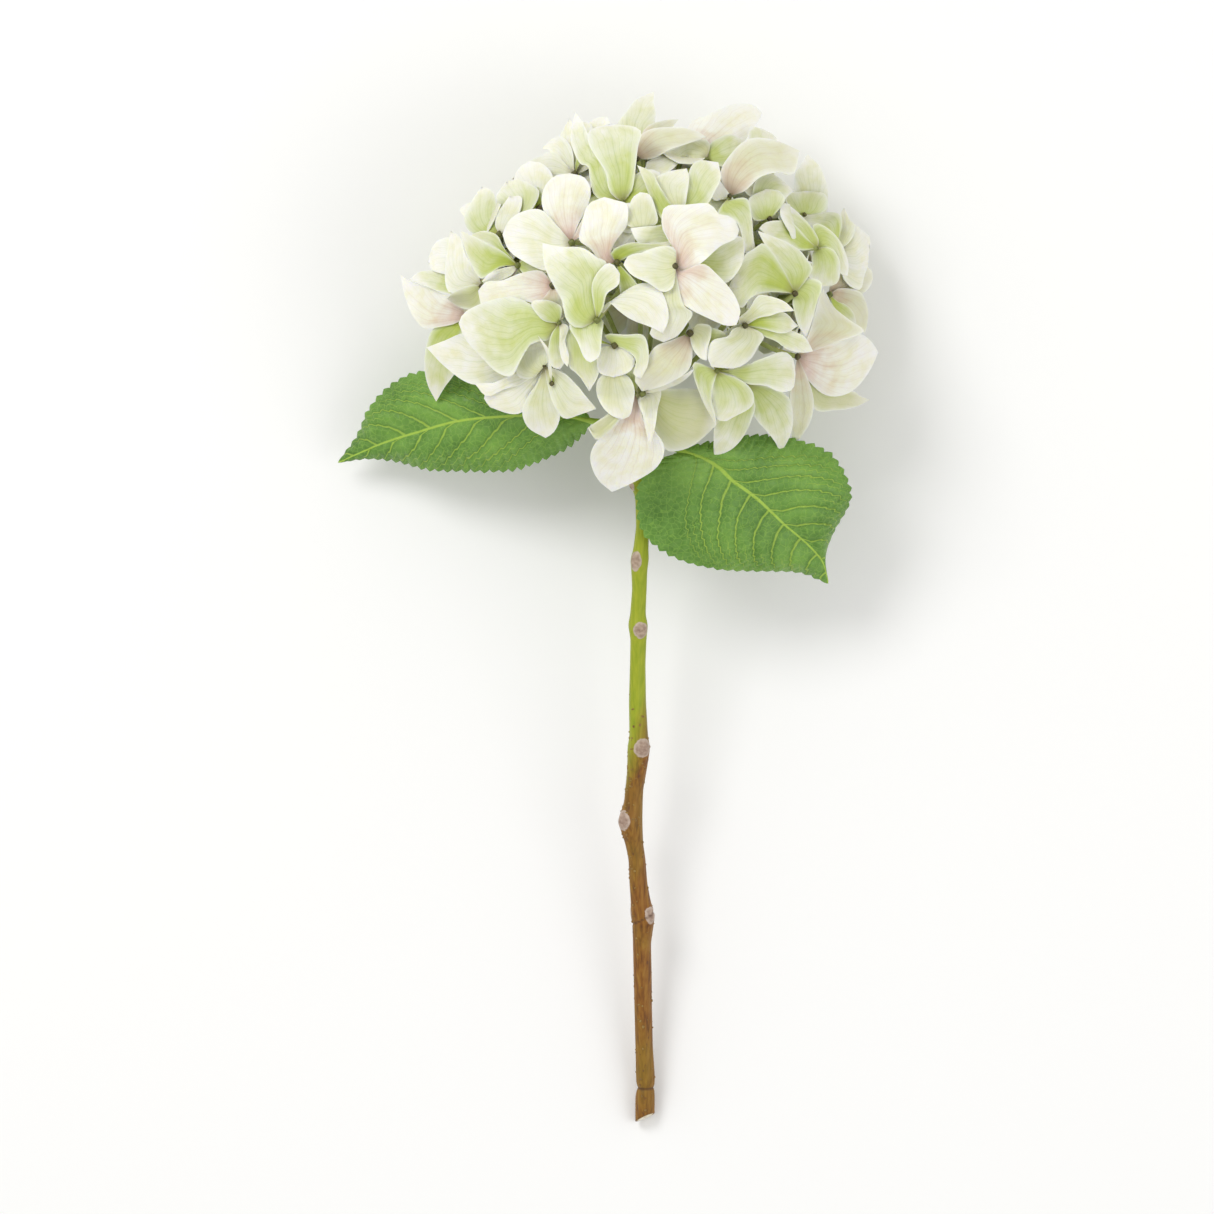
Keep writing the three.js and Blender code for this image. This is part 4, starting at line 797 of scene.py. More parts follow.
# Each floret: place of its eye, lift off the dome, then its sepals as tint, tip rise, and the
# outline seen from above: left edge, tip, right edge. A hidden sepal gives its width instead.
FLORETS = [
    ((14, 12.5), 2, [
        ("pink", -6, [(13, 20), (9, 28), (10, 36), (19, 37), (28, 37.5), (31, 33.5), (37, 32)], (39.5, 27),
         [(16, 10.5), (21, 11.5), (26, 15), (32, 20.5), (38, 23.5)]),
        ("pink", -7, [(17, 10.5), (25, 13.5), (31, 9), (37, 2), (40, -5)], (38.5, -10.8),
         [(12, 2), (20, -4.5), (27, -8), (34, -11)]),
        ("cream", 4, [(14, 8), (13, 3.8), (9, 2.3), (3, 6), (-3, 8.8)], (-6.4, 13),
         [(14, 19.5), (8, 20.3), (1, 18), (-4.5, 16.5)]),
        ("cream", -12, [(17, -2), (21, -6), (19, -10), (15, -15)], (9.5, -17.5),
         [(8, 0), (7, -8), (4, -14.5)]),
    ]),
    ((17, 16), -6, [
        ("green", -6, [(26, 20), (36, 24), (41.2, 24)], (41.6, 18), [(27, 8), (34.5, 6), (40, 12)]),
        ("green", 4, [(8, 21.5), (0, 21.5)], (-3.8, 27.6), [(13, 28.2), (4, 28.4)]),
    ]),
    ((-9, 14), -3, [
        ("pink", -3, [(-15, 14), (-19.5, 19.5), (-24, 23), (-23, 29), (-20.5, 37)], (-14, 40),
         [(-11.5, 17), (-10, 22), (-5.2, 29), (-5, 37), (-9, 38.6)]),
        ("lime", 2, [(-11.5, 17.5), (-9, 20), (-3, 22), (5, 21.4), (12, 22.5)], (13.3, 21.3),
         [(-4, 16.5), (2, 18.5), (9, 19.8)]),
        ("lime", -3, [(-3, 8), (1, 2.5), (1.4, -1), (0.3, -6)], (-1, -9.3),
         [(-8, 4), (-7, -2), (-4, -7.5)]),
    ]),
    ((-27, 22), -2, [
        ("pink", -8, [(-32, 27), (-37, 32.5), (-39, 38), (-38, 44), (-34, 48.5)], (-28, 49.7),
         [(-24.5, 29), (-20.5, 37.5), (-19.5, 43), (-22, 48)]),
        ("white", -7, [(-33, 13), (-38, 11), (-46, 14.5), (-52, 19)], (-54.5, 25.5),
         [(-33, 29), (-39, 35), (-46, 34.7), (-52, 31)]),
        ("pink", 2, [(-26, 25), (-23, 31), (-20, 36)], (-16, 38.5), [(-22, 26), (-18, 33)]),
        ("white", -9, 15, (-31, 1), None),
    ]),
    ((-17, -9), 0, [
        ("green", 9, [(-24, -12), (-29, -9), (-31, -1), (-34, 4.5), (-38, 13)], (-38.6, 21.8),
         [(-13, 12), (-17, 16), (-23, 19.8), (-31, 20.2)]),
        ("green", 4, [(-14.5, -9), (-15, -15), (-16, -23)], (-19.5, -25.8),
         [(-25.5, -8), (-28, -11.5), (-25, -17), (-22, -24)]),
        ("green", 7, [(-19, 5), (-14, 13), (-10.5, 13)], (-8, 9.5), [(-14.5, -4), (-13, 1.5), (-8.5, 5)]),
        ("white", -6, [(-8, 1), (0, 5.5), (6, 4.8), (9, 2), (11.2, -4), (11.4, -9)], (9.3, -14.2),
         [(-13, -2), (-8, -5.5), (-3, -8.8), (4, -11.5)]),
    ]),
    ((1, 27), -5, [
        ("cream", 3, [(-5, 29), (-4.8, 34), (-3, 39.5)], (0, 42), [(7, 30), (6.2, 36), (4, 41)]),
        ("lime", -8, 12, (17, 33), None),
        ("white", -8, 12, (-9, 36), None),
    ]),
    ((15, 35), -5, [
        ("cream", 1, [(8, 41), (5.5, 47), (12, 50.5)], (18.7, 51.7), [(18, 37), (19, 42), (19.7, 48)]),
        ("green", 0, [(18.5, 41), (19.6, 50), (23, 54.8)], (31.3, 54.2),
         [(26, 37), (30.5, 43.5), (32.4, 48)]),
        ("lime", 2, [(9, 31)], (-1, 53), [(12, 38), (8, 44.5), (5, 50)]),
    ]),
    ((-7, 38), -3, [
        ("green", -8, [(-12, 42.5), (-13.5, 50), (-17.5, 56.5), (-20.4, 62), (-20, 67)], (-12, 69.6),
         [(-3, 43), (-1.6, 52), (-0.6, 61), (0.8, 66.2), (-3, 68.7)]),
        ("green", -11, [(-17, 40), (-19.7, 47), (-20.5, 52.5), (-24, 54), (-27.3, 62), (-27, 69)],
         (-25.6, 74.6),
         [(-10, 43), (-14, 52), (-19, 62), (-22.5, 70)]),
        ("lime", -6, 11, (8, 50), None),
        ("white", -9, 14, (-12, 20), None),
    ]),
    ((-26, 50), -14, [
        ("white", -6, [(-34, 49), (-42, 46), (-46.5, 47)], (-47.3, 50.5),
         [(-34, 58.5), (-40, 57.2), (-44, 54.8)]),
        ("white", -9, [(-33, 53), (-33.5, 61), (-31, 67)], (-28, 72.5), [(-23, 57), (-25.5, 67)]),
        ("white", -8, [(-33, 55), (-36, 59.5)], (-38.6, 60.3), [(-27, 60), (-31.5, 65.3), (-36, 63.3)]),
        ("green", -10, [(-25, 60), (-25, 67), (-24, 70.7)], (-20.5, 71), [(-20, 62), (-18.8, 68.5)]),
        ("white", -11, 12, (-13, 73), None),
    ]),
    ((0, 64), -6, [
        ("cream", -9, [(-8.5, 69.5), (-5.3, 75), (-1.5, 80)], (5.9, 83.4),
         [(5, 68), (6.5, 73.5), (5.9, 78)]),
        ("rose", -10, [(3, 69), (9, 71.6)], (15.6, 72.2), [(8, 66), (13, 69)]),
        ("white", -10, 13, (-14, 64), None),
    ]),
    ((-1, 56), -5, [
        ("rose", 1, [(-1.6, 60), (0, 65), (5, 68), (13, 68.6), (21, 67.8)], (26.6, 64.8),
         [(5, 56), (12, 59.5), (19, 62)]),
    ]),
    ((27, 56), -8, [
        ("pink", -10, [(19, 64), (19, 69), (24, 72), (31, 75.8), (38, 78.3), (45, 78.3)], (49, 75),
         [(35, 56), (40, 60), (43.5, 65.5), (48, 72)]),
        ("cream", -2, [(21, 55), (18.5, 57.3), (13, 51.6), (8, 48.8)], (4.3, 47.2),
         [(28, 63), (22, 63.6), (14, 60.4), (7, 56.8), (2.3, 53.5)]),
        ("green", -12, [(28, 62), (36, 66)], (44, 62), [(33, 53), (40, 56)]),
        ("cream", -13, 14, (24, 73), None),
    ]),
    ((36, 41), -3, [
        ("rose", -8, [(33, 46), (32.4, 51), (35, 56), (41, 62.5), (47, 64.5), (56, 63)], (64, 59.3),
         [(42, 43), (48, 48.5), (55, 50.5), (61.5, 50)]),
        ("green", 1, [(35, 38.9), (42.5, 40), (44.6, 33), (45.3, 24)], (46.8, 16.2),
         [(31, 34), (35, 32.5), (39, 30), (41, 24), (41.5, 18.5)]),
        ("white", 3, [(30, 39), (29, 42.5)], (32.2, 47), [(37.5, 39.5), (34.5, 43.5)]),
        ("cream", -10, 14, (20, 26), None),
    ]),
    ((52, 32), -8, [
        ("green", -1, [(46, 31.3), (44, 36), (44, 40.5)], (50.5, 43.8), [(55, 35), (58, 39.5), (56, 43)]),
        ("green", -4, [(46, 40), (45.5, 45), (48, 49), (53, 50)], (61.7, 43.7), [(55, 36), (58.5, 40.5)]),
        ("lime", -12, [(44, 62), (45.6, 69)], (51, 67.2), [(54, 52), (55, 64)]),
    ]),
    ((66, 34), -9, [
        ("cream", -8, [(62.5, 40), (62, 47), (62.7, 51), (65.4, 55.5)], (67, 58.6),
         [(74.5, 35), (75.5, 41), (75, 46.5), (71.8, 54)]),
        ("green", -1, [(61, 36), (58, 40), (60, 42.5)], (67, 43.4), [(73, 35), (75.3, 38), (74, 42.4)]),
    ]),
    ((62, 2), 0, [
        ("green", 5, [(59, 6), (55.5, 12), (52, 18), (49.3, 22.5)], (47.2, 26.8),
         [(66, 7), (68.8, 12), (66.5, 16), (63, 20), (56, 23.6)]),
        ("green", -3, [(66, 8), (72.8, 6.2), (70.7, -2), (69, -8)], (66.4, -15.3),
         [(61, -1), (61.7, -5), (63.2, -10.5)]),
        ("lime", -9, [(52, 2.5), (45, 0.5), (40, -4)], (35, 3), [(57, 12), (50, 21.5), (46, 20), (41, 16)]),
    ]),
    ((71, 20.5), -5, [
        ("green", 4, [(67, 23), (62, 29), (55.5, 32)], (57.5, 38.7),
         [(71.5, 24), (69, 28.5), (65, 33), (60.5, 37)]),
        ("lime", 2, [(64, 19.5), (58, 22.8), (52, 24.5)], (47.6, 28),
         [(66, 25), (61, 30.3), (55, 31.3), (50, 30.3)]),
        ("green", -1, [(69, 28), (70.5, 30.6), (76, 28), (80.5, 23), (83.5, 15)], (83.2, 9.6),
         [(75, 20), (79, 18), (79.8, 11)]),
        ("green", 0, [(76, 20.6), (79.5, 17), (80.2, 11), (78.5, 6.3)], (72, 5),
         [(69, 18), (68.7, 13), (67, 8.6)]),
    ]),
    ((79, 20), -9, [
        ("white", -9, [(82, 27), (86, 30.3), (90, 27.6), (92.2, 25.5)], (92.6, 22.5),
         [(82, 8), (88, 4), (90, 9.5), (91.5, 13.5), (91.6, 17)]),
        ("cream", -2, [(77, 27), (79.5, 33)], (82, 37), [(84, 23), (86.5, 29), (84, 33)]),
        ("green", -4, [(74, 28), (66, 30.5)], (63, 33.8), [(81, 33), (75, 35.4), (68, 35.3)]),
    ]),
    ((76, 2), -11, [
        ("rose", -6, [(80, 4.6), (87.5, 3.7), (90.6, 0), (91.7, -6)], (90.3, -13.4),
         [(79, -4), (84, -7.5), (87, -11)]),
        ("lime", 1, [(79, -0.5), (83, -2.2), (86, -6)], (86.8, -11), [(78, -4.5), (82, -7.5)]),
        ("rose", -10, 13, (93, 12), None),
        ("green", -8, 12, (66, -10), None),
    ]),
    ((63, -23), 0, [
        ("rose", -4, [(67, -15), (69.5, -7), (71.5, 0)], (73.5, 4.5),
         [(78, -17.5), (89.5, -13), (84, -8.5), (77.5, -3)]),
        ("pink", -8, [(70, -18), (80, -16), (88, -13.8), (93, -17.2)], (95.5, -21),
         [(66, -30.5), (72.5, -37.3), (79, -38.8), (86, -35.8), (92, -28.5)]),
        ("rose", -9, [(66.3, -30), (69, -37), (69.5, -43), (67.5, -50.5)], (61, -59.4),
         [(61.3, -32), (60, -38.5), (60.5, -46)]),
        ("shade", -14, [(75, -34), (85, -36.3), (88, -38.3)], (92.2, -40),
         [(69, -42.8), (78, -44.2), (86, -43)]),
    ]),
    ((42, -11), 0, [
        ("cream", 1, [(39, -8.5), (43, -5), (46, -0.5), (48.5, 1.3), (57, -1)], (61.7, -5),
         [(47, -8), (52, -7), (56, -5.6)]),
        ("green", -6, [(48, -10.3), (55, -11), (62, -13.5), (66, -15.5)], (69, -21),
         [(49, -15), (54, -17), (59, -20.3), (65, -21.6)]),
        ("cream", 3, [(47, -13), (49.5, -15.3), (47, -19.5), (44, -24.3), (38, -27.8)], (28.5, -27.3),
         [(37, -12.3), (35, -15.3), (29, -17), (26.8, -22.5)]),
        ("lime", -9, [(48, -6.5), (57, -5.5)], (63, -11), [(48, -12), (57, -14)]),
    ]),
    ((31, -29), -3, [
        ("green", -6, [(39, -27.8), (48, -24.3), (57, -21.3), (61, -24)], (62, -30),
         [(37, -30.7), (43, -34), (50, -34.7), (56, -37.2), (61, -36)]),
        ("green", -7, [(38, -31.5), (43, -34.5), (45.5, -39), (44, -43.5)], (34.5, -48.8),
         [(29, -33), (29, -41), (31, -48)]),
        ("green", -8, [(29.5, -34), (28.6, -40), (30, -46)], (30.5, -50.5),
         [(22, -25.5), (21.5, -30.5), (24, -38), (28, -46.3)]),
        ("lime", -10, 12, (44, -10), None),
    ]),
    ((42, -34), -7, [
        ("green", -12, [(50, -34.8), (58.3, -38), (61, -44), (60.6, -53)], (56.2, -61.9),
         [(45, -41), (45.5, -46.5), (50.5, -52.5), (54.5, -57.5)]),
        ("green", -8, [(46, -42), (45, -47), (42, -54), (37, -59.7)], (29.9, -63),
         [(35, -42), (30.2, -49), (29.6, -57)]),
        ("green", -8, 12, (24, -40), None),
    ]),
    ((20, -14), -8, [
        ("cream", 1, [(23, -10.5), (28, -11), (28.4, -15), (27, -20)], (26.6, -24.9),
         [(20.3, -17), (21.5, -20.8), (24, -23.8)]),
        ("rose", -6, [(21, -22), (19, -29), (10, -34.6)], (1, -37),
         [(12, -17), (6, -19.5), (2, -26), (-2, -32)]),
        ("lime", -8, 12, (38, -22), None),
    ]),
    ((1, -38), -12, [
        ("shade", -8, [(8, -36.3), (16, -36), (24, -36.5), (28, -43)], (30.4, -50.5),
         [(5, -51), (10, -59.7), (15, -60.6), (22, -58)]),
        ("white", 6, [(8.3, -36.5), (7.2, -44), (6, -52)], (4, -58.5),
         [(-0.7, -41), (1.3, -47), (2.8, -54)]),
        ("white", 5, [(8, -34.3), (15, -31.5)], (21.6, -28.4), [(9, -36.6), (16, -33.8), (20, -30.6)]),
        ("cream", -6, 12, (-16, -34), None),
    ]),
    ((-2, -38), -3, [
        ("pink", -9, [(0, -42), (1.5, -48.5), (6, -53), (9.9, -59.5), (7, -67), (-2, -73)], (-11, -77),
         [(-4, -44), (-9.5, -49), (-16, -55.5), (-19.7, -63), (-17, -71.5)]),
        ("shade", -8, [(-9, -49.5), (-13, -53.8), (-17.4, -56.2)], (-20.5, -51.5),
         [(-7, -42.5), (-13, -46.3)]),
        ("green", -8, 11, (-10, -22), None),
    ]),
    ((-10, -19), -6, [
        ("green", -2, [(-14, -14.5), (-6, -14.7), (1, -14.6), (3.3, -19), (3.3, -26.5)], (0.3, -32.2),
         [(-5, -21), (-1.5, -25), (-2.5, -30)]),
        ("white", -3, [(-5, -21), (-2, -25), (-4, -29.3)], (-10, -31.5),
         [(-15.5, -20), (-17, -25), (-15.7, -30)]),
        ("lime", -7, [(-20, -18), (-16, -25), (-16.6, -31)], (-20, -37),
         [(-28, -12), (-28.8, -20), (-28, -27.5), (-24, -31)]),
    ]),
    ((-10, -29), -6, [
        ("cream", -4, [(-4.5, -31.3), (-2, -36.5), (-2.8, -43), (-4.2, -47)], (-7.5, -48.2),
         [(-16, -31.5), (-17.2, -37), (-15, -43), (-11, -46.8)]),
    ]),
    ((-38, -27), 0, [
        ("cream", -8, [(-35, -35), (-33, -41), (-31.8, -47.5), (-34, -53)], (-37.4, -55.5),
         [(-41, -34), (-44.5, -39), (-46.8, -45), (-44.5, -51.3)]),
        ("cream", -4, [(-31, -29.3), (-25.5, -34), (-21, -39.5)], (-17, -44),
         [(-36.5, -35), (-34, -43), (-30, -47.8), (-24, -46.3)]),
        ("white", -7, [(-43, -37), (-46, -44.5), (-51, -46)], (-59.5, -43.2),
         [(-46, -33), (-54, -35.3), (-60, -36.3), (-62, -39.5)]),
        ("cream", -2, [(-43, -31.8), (-48.5, -30.8), (-48.8, -24), (-45.5, -18.3)], (-40.5, -15.3),
         [(-35.6, -23.5), (-37.6, -18.5)]),
        ("white", -5, [(-47, -34), (-54, -36.2), (-61, -38.8)], (-65.5, -34),
         [(-47, -29.5), (-52, -31), (-58, -33.5)]),
    ]),
    ((-35, -34), 3, [
        ("white", 1, [(-36.2, -28.5), (-37, -22)], (-40.3, -15.2), [(-35, -28), (-35.9, -21)]),
    ]),
    ((-32, -10), -2, [
        ("green", -8, [(-36, -16.5), (-43, -18), (-47.5, -25), (-51, -31), (-57, -29.3), (-63, -23.3),
                       (-69, -16.7)], (-72, -10),
         [(-42, -3.3), (-51, 0.4), (-61, -1.4), (-69.5, -5.5)]),
        ("white", 2, [(-28.3, -11.5), (-29.6, -17), (-28.2, -23)], (-28.6, -27.3),
         [(-31.7, -13), (-31.9, -20), (-30.8, -24.7)]),
        ("green", -6, [(-30.8, -17), (-29.6, -24)], (-31.5, -28.3),
         [(-35.3, -15), (-36.3, -21), (-35, -27)]),
        ("green", -5, [(-38, -9), (-42, -5), (-43, -2)], (-41, -1), [(-31, -4), (-36, -1)]),
    ]),
    ((-48, -23), -8, [
        ("white", -7, [(-53, -31.3), (-59, -33.3), (-65, -34.3), (-71, -32.2), (-79, -25.7)], (-85, -19.3),
         [(-58, -15), (-70, -13.8), (-78, -16.7)]),
        ("white", -12, 14, (-46, -42), None),
    ]),
    ((-69, -7), -8, [
        ("pink", -6, [(-74, -9.8), (-82, -11.3), (-86.5, -11.3), (-91, -6), (-94, 2)], (-95.6, 10),
         [(-71, -2.5), (-77, 1.2), (-84, 4.6), (-91, 7)]),
        ("lime", -14, [(-73, -20), (-73.5, -28.5), (-78, -35)], (-81.3, -40.6),
         [(-79, -10), (-83.3, -12.8), (-85.6, -20), (-86, -27.5), (-84.5, -34.5)]),
        ("white", -10, 12, (-58, 14), None),
    ]),
    ((-63, 5), -13, [
        ("white", -2, [(-69, 4), (-76, 2.7), (-77.7, 10), (-76.7, 20)], (-75.4, 27.3),
         [(-65, 11), (-69, 17), (-71.5, 24.5)]),
        ("white", -5, [(-73, 9), (-79, 10.3), (-83, 11.8)], (-84.6, 15),
         [(-74, 23), (-79.5, 24), (-82.7, 21)]),
        ("green", -6, [(-72, 2), (-80, 3.3), (-87, 6)], (-92, 8), [(-74, 9.5), (-82, 11.5), (-88, 11)]),
        ("shade", 1, [(-64, -3.8), (-71, -3.5)], (-77, 0.3), [(-67, 5.6), (-74, 2.8)]),
    ]),
    ((-34.5, 5), -5, [
        ("pink", -7, [(-38, -2), (-48, -0.8), (-56, -1), (-62.5, -3)], (-64.3, 3),
         [(-39, 10.7), (-47, 10), (-55, 7), (-61, 6.7)]),
        ("rose", -5, [(-31, 0), (-29, -5.5)], (-31, -9), [(-37, 1.5), (-40, -3), (-36, -7.5)]),
    ]),
    ((-48.5, 13), -2, [
        ("lime", -4, [(-55, 12.7), (-60, 9.5), (-63.5, 8), (-67, 13.3), (-70, 21)], (-71.5, 27),
         [(-54, 18.3), (-61, 22.2), (-67, 25.3)]),
        ("white", -1, [(-51, 9.3), (-56, 7), (-60, 5.8)], (-62.7, 6.8), [(-55, 12), (-60, 9.8)]),
        ("lime", -9, [(-58, 20.5), (-64, 23.5)], (-68, 25), [(-54, 20), (-57, 25.3), (-62.5, 27)]),
        ("green", -4, [(-45, 17), (-40, 15)], (-36, 10), [(-46, 9.8), (-41, 9.5)]),
    ]),
    ((-56, 26), -9, [
        ("green", -7, [(-66, 26), (-70, 31.5), (-67.5, 38.3)], (-63, 45),
         [(-56.8, 31), (-56.8, 38), (-58.8, 43.2)]),
        ("white", -8, [(-62, 28), (-69.5, 32.5)], (-72, 35.7), [(-65, 38), (-70, 37.8)]),
        ("white", 2, [(-57.6, 30), (-56, 35)], (-52, 40.8), [(-52, 28), (-48, 34), (-47, 40.5)]),
        ("green", -3, [(-54, 35), (-56, 38), (-57.3, 41)], (-53.5, 46.6),
         [(-45, 33), (-40, 42), (-44, 46), (-49.5, 47.8)]),
    ]),
    ((-40, 36), -9, [
        ("lime", -3, 12, (-47, 43), None),
        ("white", -6, 16, (-44, 55), None),
    ]),
]

# The hidden side and the inside: florets in rings, each ring as count, first and last angle,
# how far down the head it sits and how far out.
UNDERSIDE_RINGS = [
    (6, -8, 188, 0.34, 1), (3, 8, 172, 0.84, 1), (1, 262, 262, 0.985, 1), (8, -14, 194, 0.02, 1),
    (5, 6, 174, 0.62, 1), (8, -20, 200, -0.3, 0.78), (5, 0, 180, -0.62, 0.62),
]
UNDERSIDE_SIZE = np.array([66.0, 50.0, 54.0])
UNDERSIDE_MIDDLE = np.array([0.0, 8.0, 57.0])
UNDERSIDE_SEPAL = {"length": 27, "width": 19, "count": 4, "bend_back": 0.1, "least": 0.9, "more": 0.2}
PRESSED = {"below": 9, "arch": 0.17}


def unit(vector):
    return vector / np.linalg.norm(vector)


def dome_height(x, y):
    out = math.hypot(x / DOME["half_width"], y / DOME["half_length"])
    return DOME["foot"] + DOME["rise"] * (1 - out ** DOME["power"])


def dome_follow(x, y, eye):
    """How far a floret's sepal climbs towards the crown or hangs towards the rim."""
    climb = dome_height(x, y) - dome_height(*eye[:2])
    return climb * (CLIMB if climb > 0 else HANG)


def sepal_steps():
    even = np.linspace(0, 1, SEPAL_GRID[0] + 1)
    return 0.015 + 0.984 * (even + 0.05 * np.sin(2 * math.pi * even))


def plain_half_width(t, width):
    opening, blunt = SEPAL_OPENING, SEPAL_BLUNT
    peak = opening ** opening * blunt ** blunt / (opening + blunt) ** (opening + blunt)
    return width / 2 * t ** opening * (1 - t) ** blunt / peak


def traced_frame(eye, rise, left, tip, right):
    """Middle line, half-width vector and normal of a sepal whose outline is given from above."""
    base, tip = eye[:2], np.array(tip, dtype=float)
    span = tip - base
    right_hand = unit(np.array([span[1], -span[0]]))
    t = sepal_steps()
    if right is None:
        middle = base + span * t[:, None]
        half = right_hand * plain_half_width(t, left)[:, None]
    else:
        edges = []
        for edge in (left, right):
            curve, _ = smooth_curve([(x, y, 0) for x, y in (base, *edge, tip)])
            edges.append(along_curve(curve[:, :2], t * (len(curve) - 1)))
        middle, half = (edges[0] + edges[1]) / 2, (edges[1] - edges[0]) / 2
    follow = np.array([dome_follow(x, y, eye) for x, y in middle])
    aside = np.array([[dome_follow(*(point + side * reach), eye) for point, reach in zip(middle, half)]
                      for side in (-1, 1)])
    height = eye[2] + follow + (BEND * rise + BEND_MORE) * t
    half_height = (aside[1] - aside[0]) / 2
    return np.column_stack([middle, height]), np.column_stack([half, half_height]), np.array([0, 0, 1.0])


def plain_frame(eye, facing, tip, width):
    """The same for a sepal of plain shape that faces any way."""
    span = tip - eye
    direction = unit(span)
    normal = unit(facing - direction * np.dot(facing, direction))
    t = sepal_steps()
    half = np.cross(direction, normal) * plain_half_width(t, width)[:, None]
    return eye + span * t[:, None], half, normal


def upper_sepals():
    for floret, ((x, y), lift, sepals) in enumerate(FLORETS):
        eye = np.array([x, y, dome_height(x, y) + lift])
        for tint, rise, left, tip, right in sepals:
            level = 0 if right else COVERED_LEVEL
            yield traced_frame(eye, rise, left, tip, right), SEPAL_ARCH, tint, level, floret


def ring_florets():
    """Eye, outward direction, angle and seed of each floret on the hidden side."""
    for ring, (count, first_angle, last_angle, drop, out) in enumerate(UNDERSIDE_RINGS):
        for k, around in enumerate(np.radians(np.linspace(first_angle, last_angle, count))):
            reach = math.sqrt(1 - drop * drop)
            outward = np.array([reach * math.cos(around), reach * math.sin(around), -drop])
            yield UNDERSIDE_MIDDLE + outward * UNDERSIDE_SIZE * out, outward, around, 10 * ring + k


def lower_sepals():
    names = list(TINTS)
    for eye, outward, around, seed in ring_florets():
        first = np.array([-math.sin(around), math.cos(around), 0])
        second = unit(np.cross(outward, first))
        for i in range(UNDERSIDE_SEPAL["count"]):
            turn = (i + noise(seed)) / UNDERSIDE_SEPAL["count"] * 2 * math.pi
            vary = UNDERSIDE_SEPAL["least"] + UNDERSIDE_SEPAL["more"] * noise(seed * 7 + i)
            length = UNDERSIDE_SEPAL["length"] * vary
            tip = eye + length * (
                first * math.cos(turn) + second * math.sin(turn) - outward * UNDERSIDE_SEPAL["bend_back"])
            pressed = tip[2] < PRESSED["below"]
            if pressed:
                tip[2] = TABLE_CONTACT
            tint = names[int(noise(seed * 3 + i) * len(names))]
            arch = PRESSED["arch"] if pressed else SEPAL_ARCH
            yield plain_frame(eye, outward, tip, UNDERSIDE_SEPAL["width"]), arch, tint, 0, None


def sepal_grid(frame, arch, seed):
    """Points of one sepal, with how far along and across each lies (0 to 1, -1 to 1)."""
    middle, half, normal = frame
    t, s = np.meshgrid(sepal_steps(), np.linspace(-1, 1, SEPAL_GRID[1] + 1), indexing="ij")
    length = np.linalg.norm(middle[-1] - middle[0])
    width = np.linalg.norm(half, axis=1)[:, None]
    widest = 2 * width.max()
    r = [noise(seed * 17 + k * 3.7) for k in range(9)]
    bow = arch * length * np.sin(math.pi * t)
    cup = CUP["depth"] * (r[0] - CUP["middle"]) * s ** 2 * width
    late = np.clip((t - CURL["from"]) / (1 - CURL["from"]), 0, 1)
    curl = CURL["height"] * length * (r[2] - CURL["middle"]) * late ** 2
    waves = (t * (7 + 5 * r[3]) + 6.3 * r[4] + 1.9 * s, t * 23 + 6.3 * r[5] - 3 * s)
    frills = sum(
        high * widest * np.abs(s) ** edge * np.sin(wave) for (high, edge), wave in zip(FRILLS, waves))
    crease = -CREASE["depth"] * width * np.exp(-(s / CREASE["half_width"]) ** 2)
    rise = bow + cup + curl + frills * np.sin(math.pi * t) + crease
    grid = middle[:, None] + half[:, None] * s[..., None] + normal * rise[..., None]
    grid[..., 2] = np.maximum(grid[..., 2], TABLE_CONTACT)
    return grid, t, s, s * width, t * length


class Pile:
    """Height of the sepals already laid, on a grid of cells seen from above."""
    CELL = 0.6
    REACH = 110
    GAP = 0.55
    FINER = 4
    LIMP = 3

    def __init__(self):
        cells = int(2 * self.REACH / self.CELL)
        self.top = np.full((cells, cells), -np.inf)
        self.eye_tops = {}

    def cell(self, points):
        return tuple(((points[..., k] + self.REACH) / self.CELL).astype(int) for k in range(2))

    def lay(self, grid):
        """Lifts a limp sepal on to what lies under it, bending it smoothly."""
        x, y = self.cell(grid)
        under = np.max([self.top[x + i, y + j] for i in (-1, 0, 1) for j in (-1, 0, 1)], axis=0)
        lift = np.maximum(0, under + self.GAP - grid[..., 2])
        for spread in (np.max, np.mean):
            padded = np.pad(lift, self.LIMP, mode="edge")
            rows, columns = lift.shape
            window = range(2 * self.LIMP + 1)
            lift = spread([padded[i:i + rows, j:j + columns] for i in window for j in window], axis=0)
        grid[..., 2] += lift
        for i in range(self.FINER):
            for j in range(self.FINER):
                a, b = i / self.FINER, j / self.FINER
                fine = ((grid[:-1, :-1] * (1 - a) + grid[1:, :-1] * a) * (1 - b)
                        + (grid[:-1, 1:] * (1 - a) + grid[1:, 1:] * a) * b)
                np.maximum.at(self.top, self.cell(fine), fine[..., 2])


